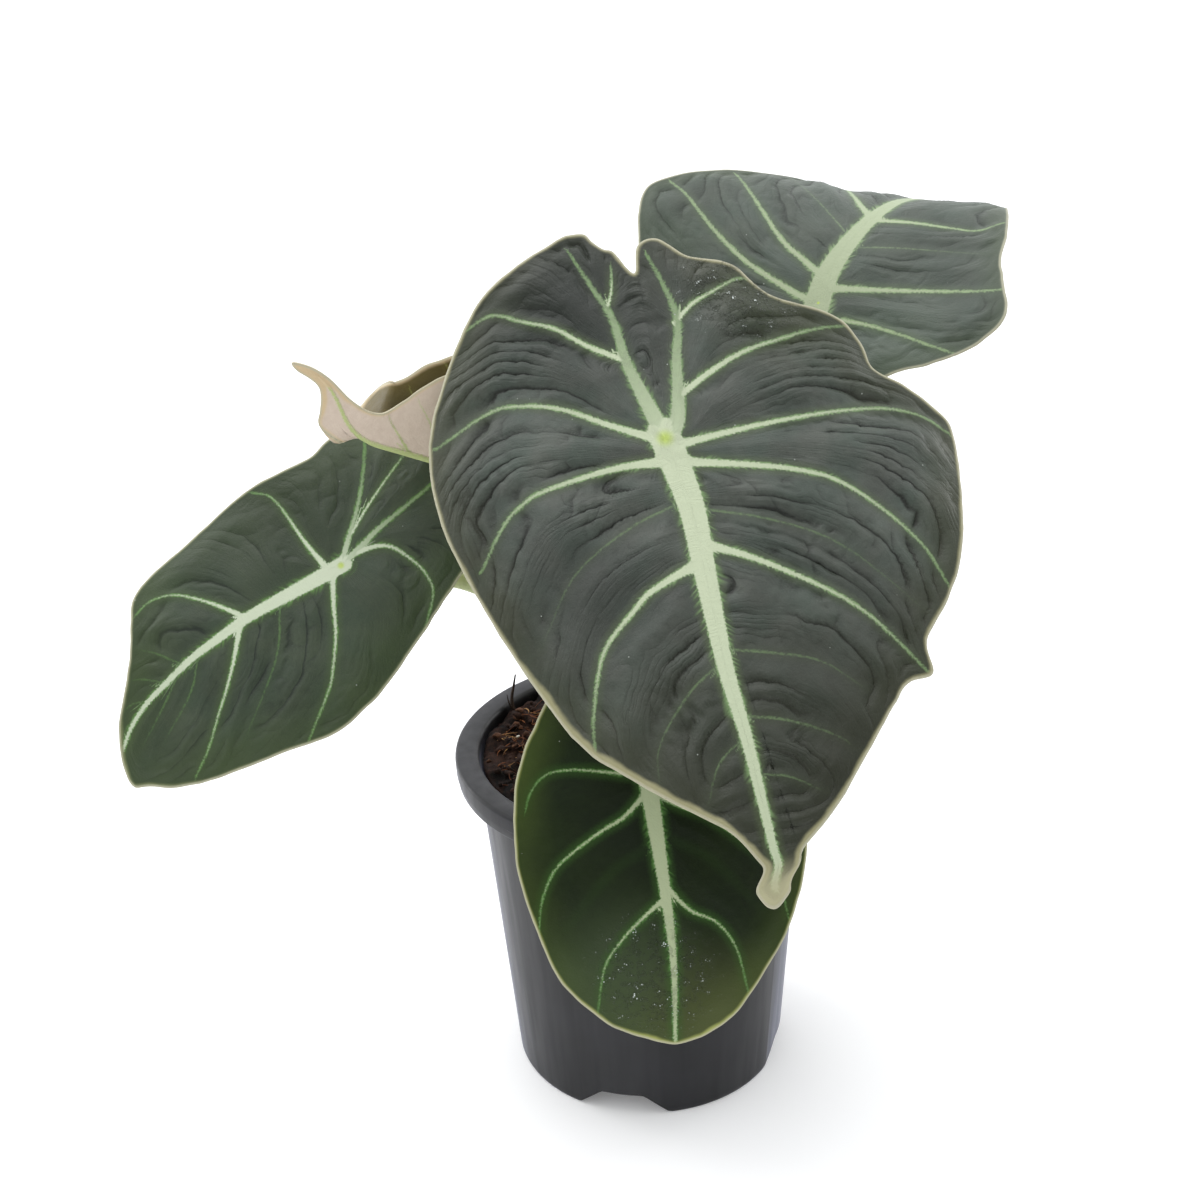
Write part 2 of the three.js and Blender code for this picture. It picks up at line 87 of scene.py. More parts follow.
LEAVES = {
    "leaf_front": {
        "joint": (9, -32, 232), "heading": -72, "pitch": -43, "bank": 11,
        "arch": (0, -18), "lobes": (0, -12), "cup": (-20, -20), "wave": (2, 5, 40),
        "hook": (4.5, 123.5, 130.5), "length": 145, "half_width": 80,
        "margin": [(3, 134.7), (0, 133.2), (-2.2, 131), (-2.9, 126.5), (-4, 122),
                   (-17.5, 112.5), (-39, 92), (-47, 85), (-55, 84), (-56, 74.5), (-66, 64),
                   (-75, 51), (-82, 32), (-87, 12), (-83.5, 3.5), (-76.5, -4.5), (-68, -11),
                   (-67, -20), (-61, -29), (-43, -38), (-35, -50), (-23, -56), (-16, -64),
                   (-9.5, -63), (-6.5, -54.5), (-4.5, -56), (-2, -62.5), (0.7, -64.2),
                   (3.2, -67.4), (4.8, -70.3), (9, -71.2), (13, -70.2), (31, -63),
                   (42.5, -55.5), (54, -41), (64, -24), (68, -6), (67, 14), (60, 42), (48, 76),
                   (37, 91), (24, 104), (14, 113), (9.2, 121.5), (7.6, 125),
                   (7.3, 129), (6.5, 131.8), (5.2, 133.9)],
        "petiole": [(6, -9, 86), (6, -9, 99), (6, -9, 113), (8, -7, 152), (10, -8, 196)],
        "radius": (4.4, 2.9),
        "veins": [
            ("mid", 9.6, 2.4, [(0, -2), (-0.8, 10), (-1.3, 24), (0.3, 40), (1.8, 57), (2.8, 72),
                               (2.8, 91), (3.7, 112), (3.9, 123), (2, 130)]),
            ("costa", 5.8, 0.7, [(0, 1), (1, -6), (2.9, -16.9), (4.3, -26.9), (4.4, -41),
                                 (7.8, -53.4), (11, -66)]),
            ("side", 1.2, 0.6, [(4.5, -45), (2, -50), (0, -58)]),
            ("costa", 5.4, 0.9, [(0, 1), (-4.6, -4), (-7.5, -12.7), (-10, -23.2), (-13.7, -35),
                                 (-13.6, -45), (-11.3, -59.7)]),
            ("side", 1.8, 0.8, [(-13, -35), (-19.7, -39.8), (-27.8, -42.8), (-35.1, -44.9),
                                (-40, -43)]),
            ("side", 2.2, 0.8, [(3.7, -26), (13.6, -33.7), (21.1, -41.6), (30, -47),
                                (37.9, -51.9), (47, -50)]),
            ("side", 2.4, 0.8, [(2, 0), (14, -8), (25.6, -16.8), (35.9, -21.5), (46, -23),
                                (63.9, -17.7)]),
            ("side", 2.6, 0.8, [(2, 7), (16, 5.3), (37, 5.9), (44.9, 8.3), (51.4, 12.7),
                                (60.6, 23.4)]),
            ("side", 2.4, 0.8, [(2, 39), (16.2, 43.4), (22.4, 47.4), (33.6, 56.5), (40.8, 72.6),
                                (43, 82)]),
            ("side", 2.4, 0.8, [(-8, -12), (-19.3, -17.4), (-30, -21.3), (-42, -23.4),
                                (-52.9, -25.1), (-63.1, -25.4)]),
            ("side", 2.4, 0.8, [(-2, 3), (-38, 1.9), (-60.9, 2.2), (-72.5, 4.1), (-80.1, 7.8),
                                (-85, 13)]),
            ("side", 2.6, 0.8, [(-2, 8), (-33.9, 18.1), (-48.1, 26.9), (-62.5, 45.7),
                                (-67.5, 61.2)]),
            ("side", 2.4, 0.8, [(-2, 34), (-17, 43), (-38.9, 61), (-53.8, 83.6)]),
            ("minor", 0.8, 0.4, [(1, 65), (-12, 69), (-24, 74), (-34, 84)]),
            ("minor", 0.8, 0.4, [(2, 84), (-10, 88), (-22, 95), (-27, 101)]),
            ("minor", 0.6, 0.3, [(3, 100), (-6, 103), (-14, 109)]),
            ("minor", 0.7, 0.3, [(0, 22), (-22, 31), (-40, 43), (-58, 66)]),
            ("minor", 0.7, 0.3, [(0, 20), (18, 24), (36, 33), (50, 50)]),
            ("minor", 0.7, 0.3, [(3, 68), (14, 74), (26, 86), (29, 97)]),
            ("minor", 0.6, 0.3, [(4, 90), (12, 95), (18, 105)]),
        ],
    },
    "leaf_back": {
        "joint": (62, 52, 243), "heading": 46, "pitch": 49, "bank": 12,
        "arch": (-73, -66), "lobes": (-25, -45), "cup": (10, 0), "wave": (1, 5, 0),
        "twist": (5, 0, 0.8), "length": 108, "half_width": 60,
        "margin": [(0, 112), (-14, 96), (-30, 76), (-43, 54), (-58, 43.5), (-73, 31.5),
                   (-78.5, 22), (-74.5, 10), (-67.5, -3), (-62, -20), (-50, -34), (-32, -44),
                   (-14, -44), (-5, -36), (0, -25), (5, -35), (13, -38), (24, -30), (32, -16),
                   (44, -9), (56, 0), (61, 11), (54, 23), (49, 31), (45.5, 42), (38, 58),
                   (26, 80), (10, 99)],
        "petiole": [(8, 7, 86), (8, 7, 99), (8, 7, 113), (18, 21, 154), (44, 52, 207)],
        "radius": (4.2, 2.6),
        "veins": [
            ("mid", 9.2, 1.0, [(0, -2), (-1.6, 10), (-0.8, 24.7), (0.5, 38.7), (2, 52), (4, 64),
                              (3, 84), (0, 110)]),
            ("costa", 3.6, 1.2, [(0, 1), (-7.8, -14.7), (-20.4, -27.7), (-29.2, -37.2)]),
            ("costa", 3.2, 1, [(0, 1), (6, -12), (12, -30)]),
            ("side", 2.2, 0.8, [(0, 1), (-5.5, 0.3), (-15.9, 2.5), (-30.1, 6.4), (-43, 12.3),
                                (-52.5, 17.7), (-62.9, 24.4), (-72, 28.5)]),
            ("side", 2.2, 0.8, [(0, 8), (-12, 12.8), (-24.9, 19.2), (-53.9, 41.8)]),
            ("side", 2, 0.7, [(-1, 38), (-9, 45.4), (-19.9, 59.4), (-27, 76)]),
            ("side", 1.6, 0.7, [(-6, -9), (-20.1, -15.9), (-44, -17.7), (-61, -14)]),
            ("side", 1.8, 0.6, [(0, 36), (5.2, 37), (14.2, 38.9), (25.3, 40.1), (35.5, 41.7),
                                (41, 49)]),
            ("side", 2.2, 0.7, [(2, 6), (25.6, 11.9), (51.1, 17.9), (57, 20)]),
            ("side", 1.4, 0.6, [(3, -5), (10, -3.2), (20.4, -2.3), (32.5, -2.6), (41, -3.3),
                                (52, -4)]),
            ("minor", 0.6, 0.3, [(1, 22), (18, 27), (44, 32)]),
            ("minor", 0.6, 0.3, [(1, 24), (-16, 36), (-40, 54)]),
            ("minor", 0.6, 0.3, [(3, 58), (16, 66), (26, 76)]),
        ],
    },
    "leaf_left": {
        "joint": (-90, -5, 184), "heading": 196, "pitch": -26, "bank": -46,
        "arch": (0, -20), "lobes": (0, -12), "cup": (-22, -22), "wave": (2, 5, 0),
        "length": 120, "half_width": 70,
        "margin": [(-13, 90), (-20.5, 91.6), (-23.5, 87.5), (-30, 77.5), (-34.5, 65),
                   (-39.5, 44), (-43, 28.5), (-41, 15), (-38, 5.5), (-30, -13.5),
                   (-22.7, -29.5), (-16, -43), (-8, -47), (-2, -47), (0, -45.5), (3, -47.5),
                   (10, -51), (20, -50), (30, -38), (39, -20), (37, -8), (39, 13), (35, 36),
                   (30, 57), (22, 64), (14, 68.5), (5, 76), (-4.5, 85)],
        "petiole": [(-10, -2, 86), (-10, -2, 99), (-10, -2, 113), (-22, 5, 148),
                    (-52, 11, 169)],
        "radius": (4.2, 2.8),
        "veins": [
            ("mid", 5.6, 1.4, [(0, -1), (0.4, 7), (1.2, 19), (2, 32), (1.5, 43.9), (0.8, 53.8),
                               (-0.9, 63.3), (-2.8, 72.7), (-5.8, 80.7), (-10.6, 88.3)]),
            ("side", 1.8, 0.6, [(1, 4), (13, 5.7), (26, 6.5), (33, 8), (37.6, 12.4)]),
            ("side", 1.6, 0.6, [(2, 33), (8.9, 37.4), (14.9, 42.1), (20.6, 47.6), (23.4, 53),
                                (23.8, 57.9), (22.5, 62)]),
            ("side", 1.8, 0.6, [(0, 3), (-9, 8), (-17.7, 12.4), (-25.7, 18.3), (-30.9, 23),
                                (-41.6, 37.6)]),
            ("side", 1.6, 0.6, [(1, 36), (-6.3, 42.5), (-12.9, 49.4), (-18.1, 55.8),
                                (-25.1, 64.3), (-30.1, 72.9)]),
            ("costa", 2.3, 0.9, [(0, 0), (6.3, -6.5), (13.4, -13.7), (22.3, -20.7),
                                 (31.6, -26.4)]),
            ("side", 1.2, 0.7, [(7, -8), (12.6, -18.2), (19.7, -34.1), (22, -42)]),
            ("costa", 2.7, 0.8, [(0, 0), (1.9, -9.3), (3.6, -16), (6.5, -36.9), (9, -46)]),
            ("side", 1.6, 0.6, [(1, -6), (-0.6, -11.8), (-3.7, -16.2), (-10.3, -19.2),
                                (-16, -20.6), (-23.2, -19.2), (-32, -10)]),
            ("minor", 0.6, 0.3, [(0, 52), (-8, 60), (-16, 76)]),
            ("minor", 0.6, 0.3, [(-1, 60), (-7, 70), (-13, 82)]),
            ("minor", 0.6, 0.3, [(0, 22), (-14, 32), (-30, 54)]),
            ("minor", 0.6, 0.3, [(-1, 56), (8, 62), (13, 67)]),
            ("minor", 0.6, 0.3, [(-1.5, 64), (4, 70), (6, 74)]),
            ("minor", 0.6, 0.3, [(-3, 71), (-0.5, 77), (-1, 81)]),
            ("minor", 0.6, 0.3, [(-5, 78), (-5, 82), (-7, 86)]),
        ],
    },
    "leaf_low": {
        "joint": (0, -74, 145), "heading": -84, "pitch": -64,
        "arch": (0, -16), "lobes": (0, -25), "cup": (-22, -22),
        "length": 88, "half_width": 48,
        "margin": [(-4.5, 76.7), (-12.5, 74.6), (-20, 70.3), (-28.5, 61), (-38, 48.5),
                   (-44.5, 34), (-47, 20), (-45, 4), (-41, -12), (-33, -27), (-22, -38),
                   (-10, -40), (-3, -30), (0, -22), (3, -30), (9, -39), (18, -36), (27, -24),
                   (36, -7), (39, 8), (38.5, 27), (31.5, 51), (25, 61), (15, 70), (3, 75.3)],
        "petiole": [(-5, -9, 86), (-5, -9, 99), (-5, -10, 113), (-5, -27, 133),
                    (-3, -46, 141)],
        "radius": (3.6, 2.4),
        "veins": [
            ("mid", 6, 1.4, [(0, -1), (-0.4, 3), (-3.1, 47), (-2.1, 76)]),
            ("side", 1.2, 0.5, [(0, -1), (12.1, -3.4), (21, -4.7), (28.3, -4), (33, 0.2),
                                (35.5, 6)]),
            ("side", 1.5, 0.5, [(0, 3), (7.5, 9.8), (14.6, 13.5), (26.5, 21.5), (31.5, 28.8),
                                (33.8, 36.5), (34.6, 45)]),
            ("side", 1.3, 0.5, [(-2, 34), (4.8, 39.1), (11.6, 45.4), (16.6, 52.7), (19.5, 65.9)]),
            ("side", 1.2, 0.5, [(0, -1), (-14, -4), (-26, -5), (-33, -3), (-40, 4)]),
            ("side", 1.5, 0.5, [(0, 3), (-8.5, 8.1), (-17.2, 12.6), (-28.5, 22.5), (-36, 31),
                                (-39, 46)]),
            ("side", 1.3, 0.5, [(-3, 31), (-9, 38), (-16.5, 42.5), (-21.8, 50.8), (-24.8, 66)]),
            ("costa", 2.4, 0.8, [(0, 1), (5, -12), (9, -32)]),
            ("costa", 2.4, 0.8, [(0, 1), (-6, -13), (-13, -34)]),
            ("minor", 0.5, 0.3, [(-2, 18), (12, 25), (26, 40)]),
            ("minor", 0.5, 0.3, [(-2, 16), (-16, 24), (-30, 40)]),
        ],
    },
    "leaf_young": {
        "joint": (-29, 3, 203), "heading": 195.5, "pitch": 24.5,
        "fold": (59.5, 86.5), "fold_tip": 4,
        "turns": [(51, 0.54, 0.76), (-47, 0.76, 0.99)], "twist": (-75.5, 0.56, 0.68),
        "length": 92, "half_width": 40,
        "margin": [(1, 90), (0, 86), (-1, 79), (-3, 72), (-8, 63), (-10, 57), (-12, 53),
                   (-15, 50), (-21, 46), (-29, 38), (-32, 32), (-35, 26), (-37, 14), (-35, 0),
                   (-30, -14), (-21, -26), (-11, -31), (-4, -28), (0, -20), (4, -29),
                   (12, -32), (24, -26), (33, -13), (38, 0), (40, 14), (39, 24), (34, 33),
                   (28, 42), (20, 51), (21, 56), (11, 58), (6, 61), (8, 66), (6, 70), (4, 75),
                   (3, 79), (3, 87)],
        "petiole": [(-3, 9, 86), (-3, 9, 99), (-3, 9, 113), (-7, 9, 141), (-19, 6, 167)],
        "radius": (3.4, 2.2),
        "veins": [
            ("mid", 3.2, 0.9, [(0, -2), (0, 30), (0, 55), (0, 70), (1, 84)]),
            ("side", 0.9, 0.4, [(0, 4), (-12, 7), (-25, 12), (-34, 20)]),
            ("side", 0.9, 0.4, [(0, 18), (-12, 23), (-23, 30), (-29, 38)]),
            ("side", 0.8, 0.4, [(0, 32), (-9, 38), (-17, 46)]),
            ("side", 0.8, 0.4, [(0, 42), (-7, 50), (-11, 55)]),
            ("side", 0.9, 0.4, [(0, 2), (-11, -6), (-22, -10), (-32, -6)]),
            ("side", 0.9, 0.4, [(0, 0), (-7, -13), (-14, -26)]),
            ("side", 0.9, 0.4, [(0, 4), (13, 8), (27, 13), (38, 21)]),
            ("side", 0.9, 0.4, [(0, 18), (13, 24), (25, 32), (31, 38)]),
            ("side", 0.8, 0.4, [(0, 32), (10, 38), (19, 46)]),
            ("side", 0.9, 0.4, [(0, 2), (12, -6), (24, -10), (34, -6)]),
            ("side", 0.9, 0.4, [(0, 0), (8, -14), (16, -28)]),
        ],
    },
}

# How each leaf looks, in mm, sRGB hex and places on the flat leaf.
# wrinkle, puff: depth of the creases, and rise of the skin between the veins. creased: how far
# the creases show. pitch_mm: way from crease to crease.
# shade, light, cool: skin in painted crease shade, skin in light, and its cooler dabs; random
# mottling also mixes shade and light. rim_tint: tint near the margin, as far in as tint_reach.
# zones: x, y, reach, tint and strength of patches of painted shade and painted sheen.
# vein, vein_end: core of a thick vein, and the rest of it. halo: glow beside it. minor: how far
# the finest veins show. hub: reach of the green spot on the joint.
# band, band_mm: pale margin, and its width behind and at the tip. swell: x, y, reach and factor
# of a wider stretch. tip, tip_tone: strength and colour of the bleached tip.
# sheen, shine, rough: for the shader. wet: x, y and reach of a wet patch, with painted glints.
# dust: share of dusty cells. under, under_vein: the under face and its veins.
PLAIN_LOOK = {"pitch_mm": 9.0, "under": "#7f8b6f", "under_vein": "#a9b588", "tip": 0,
              "wet": None, "swell": None, "shade_and_sheen_zones": ()}
LOOKS = {
    "leaf_front": {
        "wrinkle": 1.1, "creased": 1.0, "puff": 1.7,
        "cool": "#3e4d43", "tip_tone": "#a9a684",
        "shade": "#141910", "light": "#4e534b", "rim_tint": "#2f321b", "tint_reach": 20,
        "vein": "#bbc5a6", "vein_end": "#6a8655", "halo": "#46552f", "band": "#8f8c68",
        "band_mm": (0.6, 1.7),
        "sheen": 0.18, "shine": 0.48, "rough": 0.43, "wet": (-36, -42, 24),
        "tip": 0.85, "dust": 0.07, "minor": 0.28, "hub": 3.6,
        "swell": (46, 88, 52, 2.8),
        "shade_and_sheen_zones": [(-22, 108, 76, "#1c1f0c", 0.85), (20, 84, 44, "#272b1b", 0.6),
                  (32, 42, 34, "#20251d", 0.6), (12, -50, 42, "#171d15", 0.95),
                  (-44, -34, 34, "#2f361b", 0.5)],
    },
    "leaf_back": {
        "wrinkle": 0.8, "creased": 0.8, "puff": 1.2,
        "cool": "#404e44", "tip_tone": "#8f9478",
        "shade": "#252d24", "light": "#4b5349", "rim_tint": "#3b4631", "tint_reach": 10,
        "vein": "#9faa8a", "vein_end": "#7d9468", "halo": "#4c5d3a", "band": "#747863",
        "band_mm": (0.4, 1.0),
        "sheen": 0.22, "shine": 0.45, "rough": 0.48,
        "dust": 0.05, "minor": 0.25, "hub": 0.6,
        "shade_and_sheen_zones": [(-60, 0, 30, "#2c3a26", 0.8), (28, 24, 26, "#30382f", 0.45),
                  (30, -6, 26, "#5b665a", 0.55)],
    },
    "leaf_left": {
        "wrinkle": 0.5, "creased": 0.85, "pitch_mm": 9.5, "puff": 1.1,
        "cool": "#2e3f2e", "tip_tone": "#8f9470",
        "shade": "#1a2418", "light": "#3f4a37", "rim_tint": "#33421f", "tint_reach": 22,
        "vein": "#c2ccb2", "vein_end": "#567c3c", "halo": "#42552c", "band": "#737a52",
        "band_mm": (0.4, 0.8),
        "sheen": 0.16, "shine": 0.45, "rough": 0.48,
        "dust": 0.03, "minor": 0.32, "hub": 1.6,
        "shade_and_sheen_zones": [(30, 5, 45, "#222e15", 0.8)],
    },
    "leaf_low": {
        "wrinkle": 0.1, "creased": 0.15, "puff": 0.7,
        "cool": "#14220c", "tip_tone": "#9aa05a",
        "shade": "#0b1206", "light": "#1c290c", "rim_tint": "#364419", "tint_reach": 14,
        "vein": "#aeb994", "vein_end": "#4d7539", "halo": "#345420", "band": "#9aa05a",
        "band_mm": (0.4, 0.9),
        "sheen": 0.05, "shine": 0.2, "rough": 0.4, "wet": (3, 56, 22),
        "dust": 0.06, "minor": 0.0, "hub": 2.0,
        "shade_and_sheen_zones": [(0, 12, 34, "#10190a", 0.8), (12, 56, 32, "#48563a", 0.6),
                  (-14, 74, 34, "#50572f", 0.65)],
    },
    "leaf_young": {
        "wrinkle": 0.1, "creased": 0.1, "puff": 0.5,
        "cool": "#4c4a28", "tip_tone": "#cdb78c",
        "shade": "#40371a", "light": "#564b25", "rim_tint": "#6a5c30", "tint_reach": 8,
        "vein": "#a9b45c", "vein_end": "#7c7c40", "halo": "#736b34", "band": "#c6b18c",
        "band_mm": (0.7, 4.0), "under": "#cbbcab", "under_vein": "#aab57a",
        "sheen": 0.1, "shine": 0.35, "rough": 0.45,
        "tip": 0.8, "dust": 0.0, "minor": 0.3, "hub": 1.0,
    },
}

LEAVES = {name: {**PLAIN_SHAPE, **shape} for name, shape in LEAVES.items()}
LOOKS = {name: {**PLAIN_LOOK, **look} for name, look in LOOKS.items()}

# How pale and how bold each kind of vein is, at its start and at its end.
PALENESS = {"mid": (1, 0.8), "costa": (0.82, 0.0), "side": (0.95, 0.1), "minor": (0.15, 0)}
BOLDNESS = {"mid": (1, 1), "costa": (1, 0.6), "side": (1, 0.5)}
RIDGE_POWER = 0.6  # below 1, a crease is sharper than the ridge beside it

# ---------------------------------------------------------------- pot and mix, in mm
# notch_turn is in degrees. notch_foot and notch_top are widths, at the floor and at its arch.
# drain_circle is the radius on which the drain holes lie.
POT = {
    "mouth": 52.6, "collar_drop": 8.2, "collar_wall": 1.4, "wall": 1.3, "body_top": 53.4,
    "foot": 44.7, "floor": 9.0, "floor_thick": 1.6, "notch_turn": -13.6, "notch_high": 7.9,
    "notch_foot": 32, "notch_top": 13, "drain_radius": 4.5, "drain_circle": 27,
}
SOIL_LEVEL = 108.5
SOIL_CROWN = 111
SOIL_HEAP = 4.4  # of the mix that lies higher against the left wall
# share of the way from the level up to the crown, by distance from the axis
SOIL_RISE = [(60, 0), (44, 0.05), (36, 0.2), (28, 0.5), (20, 0.85), (11, 1), (0, 1)]
SOIL_BASE = 10.9
STEM_RADIUS = 5.5
STEM_TOP = 118
STEM_FOOT = 80
PEAT, BARK, COIR, PERLITE, DARK_FIBRE, BROWN_FIBRE = range(6)  # material slots of the mix
# a dry strand and a twig that stand in the mix at the edge of the pot
STRAND = [(-41.3, 27.2, 111), (-42.2, 28.5, 116.5), (-41.4, 29.8, 121), (-40.6, 30.7, 125)]
TWIG = [(-42, 27.6, 113), (-43.2, 27.1, 116.5), (-43.6, 26.9, 119.5)]


# ---------------------------------------------------------------- curves and numbers
def smooth(value, low, high):
    """0 below low, 1 above high and a smooth step between them."""
    way = np.clip((value - low) / (high - low), 0, 1)
    return way * way * (3 - 2 * way)


def curve_through(points, steps, closed=False, power=0.0):
    """Catmull-Rom curve with steps cuts from point to point; power 0.5 makes it centripetal."""
    p = np.array(points, float)
    if closed:
        p = np.vstack([p[-1:], p, p[:2]])
    else:
        p = np.vstack([2 * p[:1] - p[1:2], p, 2 * p[-1:] - p[-2:-1]])
    p0, p1, p2, p3 = p[:-3], p[1:-2], p[2:-1], p[3:]
    d0, d1, d2 = (np.linalg.norm(b - a, axis=1)[:, None] ** power
                  for a, b in ((p0, p1), (p1, p2), (p2, p3)))
    t1 = d1 * ((p1 - p0) / d0 - (p2 - p0) / (d0 + d1) + (p2 - p1) / d1)
    t2 = d1 * ((p2 - p1) / d1 - (p3 - p1) / (d1 + d2) + (p3 - p2) / d2)
    t = (np.arange(steps) / steps)[None, :, None]
    p1, p2, t1, t2 = (a[:, None, :] for a in (p1, p2, t1, t2))
    curve = ((2 * p1 - 2 * p2 + t1 + t2) * t ** 3 + (3 * p2 - 3 * p1 - 2 * t1 - t2) * t ** 2
             + t1 * t + p1).reshape(-1, p1.shape[-1])
    return curve if closed else np.vstack([curve, np.array(points, float)[-1:]])


def noise_at(x, y, size, seed=0.0):
    """Smooth noise from about -1 to 1, with features of the given size."""
    return np.array([noise.noise((a, b, seed)) for a, b in zip(x / size, y / size)])


# ---------------------------------------------------------------- the bent blade
def midrib_turn(leaf, y):
    """How far the midrib has turned up at y, in radians."""
    ahead = np.clip(y, 0, None) / leaf["length"]
    behind = np.clip(-y, 0, None) / leaf["length"]
    degrees = (leaf["arch"][0] * ahead + leaf["arch"][1] * ahead ** 2
               - leaf["lobes"][0] * behind - leaf["lobes"][1] * behind ** 2)
    for more, start, end in leaf["turns"]:
        degrees = degrees + more * smooth(ahead, start, end)
    return np.radians(degrees)


def leaf_axes(leaf):
    """Directions from the joint to the tip, to the +x side and out of the upper face."""
    heading, pitch, bank = (math.radians(leaf[k]) for k in ("heading", "pitch", "bank"))
    tip = np.array([math.cos(heading) * math.cos(pitch), math.sin(heading) * math.cos(pitch),
                    math.sin(pitch)])
    side = np.cross(tip, (0, 0, 1))
    side /= np.linalg.norm(side)
    up = np.cross(side, tip)
    return (tip, math.cos(bank) * side - math.sin(bank) * up,
            math.cos(bank) * up + math.sin(bank) * side)


def blade_points(leaf, x, y):
    """Points of the bent blade's middle surface for the flat points x, y."""
    tip, side, up = leaf_axes(leaf)
    sweep, start, end = leaf["hook"]
    x = x + sweep * smooth(y, start, end)
    steps = 24
    run, rise = np.zeros_like(y), np.zeros_like(y)
    for step in range(steps):
        angle = midrib_turn(leaf, y * (step + 0.5) / steps)
        run += np.cos(angle) * y / steps
        rise += np.sin(angle) * y / steps
    spin, start, end = leaf["twist"]
    late = smooth(y / leaf["length"], start, end)
    fold = np.where(x > 0, leaf["fold"][0], leaf["fold"][1])
    if leaf["fold_tip"] is not None:
        fold = fold + (leaf["fold_tip"] - fold) * late
    fold = np.radians(fold)
    cup = np.where(x > 0, leaf["cup"][0], leaf["cup"][1])
    bend = np.where(cup == 0, 1e-6, np.radians(cup)) / leaf["half_width"]
    across = np.abs(x)
    out = np.sign(x) * (np.sin(fold + bend * across) - np.sin(fold)) / bend
    lift = (np.cos(fold) - np.cos(fold + bend * across)) / bend
    size, count, phase = leaf["wave"]
    ripple = (size * (np.hypot(x, y) / leaf["half_width"]) ** 2
              * np.sin(count * np.arctan2(x, y) + math.radians(phase)))
    twist = np.radians(spin) * late
    lx = out * np.cos(twist) - lift * np.sin(twist)
    lz = out * np.sin(twist) + lift * np.cos(twist) + ripple
    angle = midrib_turn(leaf, y)
    return (np.array(leaf["joint"], float) + np.outer(run - lz * np.sin(angle), tip)
            + np.outer(rise + lz * np.cos(angle), up) + np.outer(lx, side))


def blade_normals(leaf, x, y):
    """Outward directions of the upper face."""
    step = 0.6
    dx = blade_points(leaf, x + step, y) - blade_points(leaf, x - step, y)
    dy = blade_points(leaf, x, y + step) - blade_points(leaf, x, y - step)
    normal = np.cross(dx, dy)
    return normal / np.linalg.norm(normal, axis=1)[:, None]


def vein_field(leaf, outline, x, y, minor):
    """Facts of the vein nearest to each flat point, and the flow between the veins.

    Returns across (signed), half width, way along, distance, paleness, boldness, flow and
    distance from the midrib. The flow is the way along the margin at which a line that runs
    between the veins would end.
    """
    best = np.full(len(x), 1e9)
    facts = np.zeros((6, len(x)))
    boldness = {**BOLDNESS, "minor": (minor, 0)}
    taper = 1.3
    ways = np.concatenate([[0], np.cumsum(np.hypot(*np.diff(outline, axis=0).T))])
    middle = curve_through(leaf["veins"][0][3], 6)
    own_half = x > np.interp(y, *middle[:, ::-1].T)
    flow, pull = np.zeros(len(x)), np.zeros(len(x))
    for kind, first, last, points in leaf["veins"]:
        line = curve_through(points, 6)
        start, step = line[:-1], np.diff(line, axis=0)
        lengths = np.hypot(*step.T)
        before = np.concatenate([[0], np.cumsum(lengths)[:-1]])
        nearest = np.full(len(x), 1e9)
        across, along = np.zeros(len(x)), np.zeros(len(x))
        for (ax, ay), (sx, sy), length, way in zip(start, step, lengths, before):
            part = np.clip(((x - ax) * sx + (y - ay) * sy) / length ** 2, 0, 1)
            distance = np.hypot(x - ax - part * sx, y - ay - part * sy)
            closer = distance < nearest
            nearest = np.where(closer, distance, nearest)
            sign = np.sign((x - ax) * sy - (y - ay) * sx)
            across = np.where(closer, sign * distance, across)
            along = np.where(closer, way + part * length, along)
        share = np.clip(along / lengths.sum(), 0, 1)
        half = (last + (first - last) * (1 - share) ** taper) / 2
        if kind == "side" and points[0][1] > -8:  # it flares where it leaves the midrib
            half += 0.3 * first * np.exp(-along / 5)
        fade = 1.0 if kind == "costa" else 2.2
        pale, bold = (low + (high - low) * (1 - share ** fade)
                      for high, low in (PALENESS[kind], boldness[kind]))
        better = nearest - half < best
        best = np.where(better, nearest - half, best)
        facts = np.where(better, [across, half, along, nearest, pale, bold], facts)
        if kind == "mid":
            from_middle = nearest
        else:
            end_x, end_y = points[-1]
            end = ways[np.argmin(np.hypot(*(outline - points[-1]).T))]
            same = own_half == (end_x > np.interp(end_y, *middle[:, ::-1].T))
            weight = np.where(same, 1, smooth(-y, 0, 12)) / (nearest ** 2 + 0.5)
            flow += weight * min(end, ways[-1] - end)
            pull += weight
    return (*facts, flow / pull, from_middle)


def edge_distance(outline, x, y):
    """Distance from each flat point to the margin."""
    nearest = np.full(len(x), 1e9)
    for (ax, ay), (bx, by) in zip(outline, np.roll(outline, -1, 0)):
        sx, sy = bx - ax, by - ay
        part = np.clip(((x - ax) * sx + (y - ay) * sy) / (sx * sx + sy * sy), 0, 1)
        nearest = np.minimum(nearest, np.hypot(x - ax - part * sx, y - ay - part * sy))
    return nearest


# ---------------------------------------------------------------- mesh building
def as_mesh(bm, name):
    """Turns a bmesh into a mesh and frees it."""
    mesh = bpy.data.meshes.new(name)
    bm.to_mesh(mesh)
    bm.free()
    return mesh


def show(name, data):
    """Puts a mesh, a light or a camera into the scene as an object."""
    shown = bpy.data.objects.new(name, data)
    bpy.context.scene.collection.objects.link(shown)
    return shown


def new_of(made, kind):
    """The elements of one kind that a bmesh operator made."""
    return [g for g in made["geom"] if isinstance(g, kind)]


def rolled_grid(columns, rows):
    """A flat grid to be rolled up, with the column and the row of each of its vertices."""
    bm = bmesh.new()
    bmesh.ops.create_grid(bm, x_segments=columns, y_segments=rows, size=0.5)
    share = np.array([v.co.xy for v in bm.verts]) + 0.5
    column, row = np.rint(share * (columns, rows)).astype(int).T
    return bm, column, row


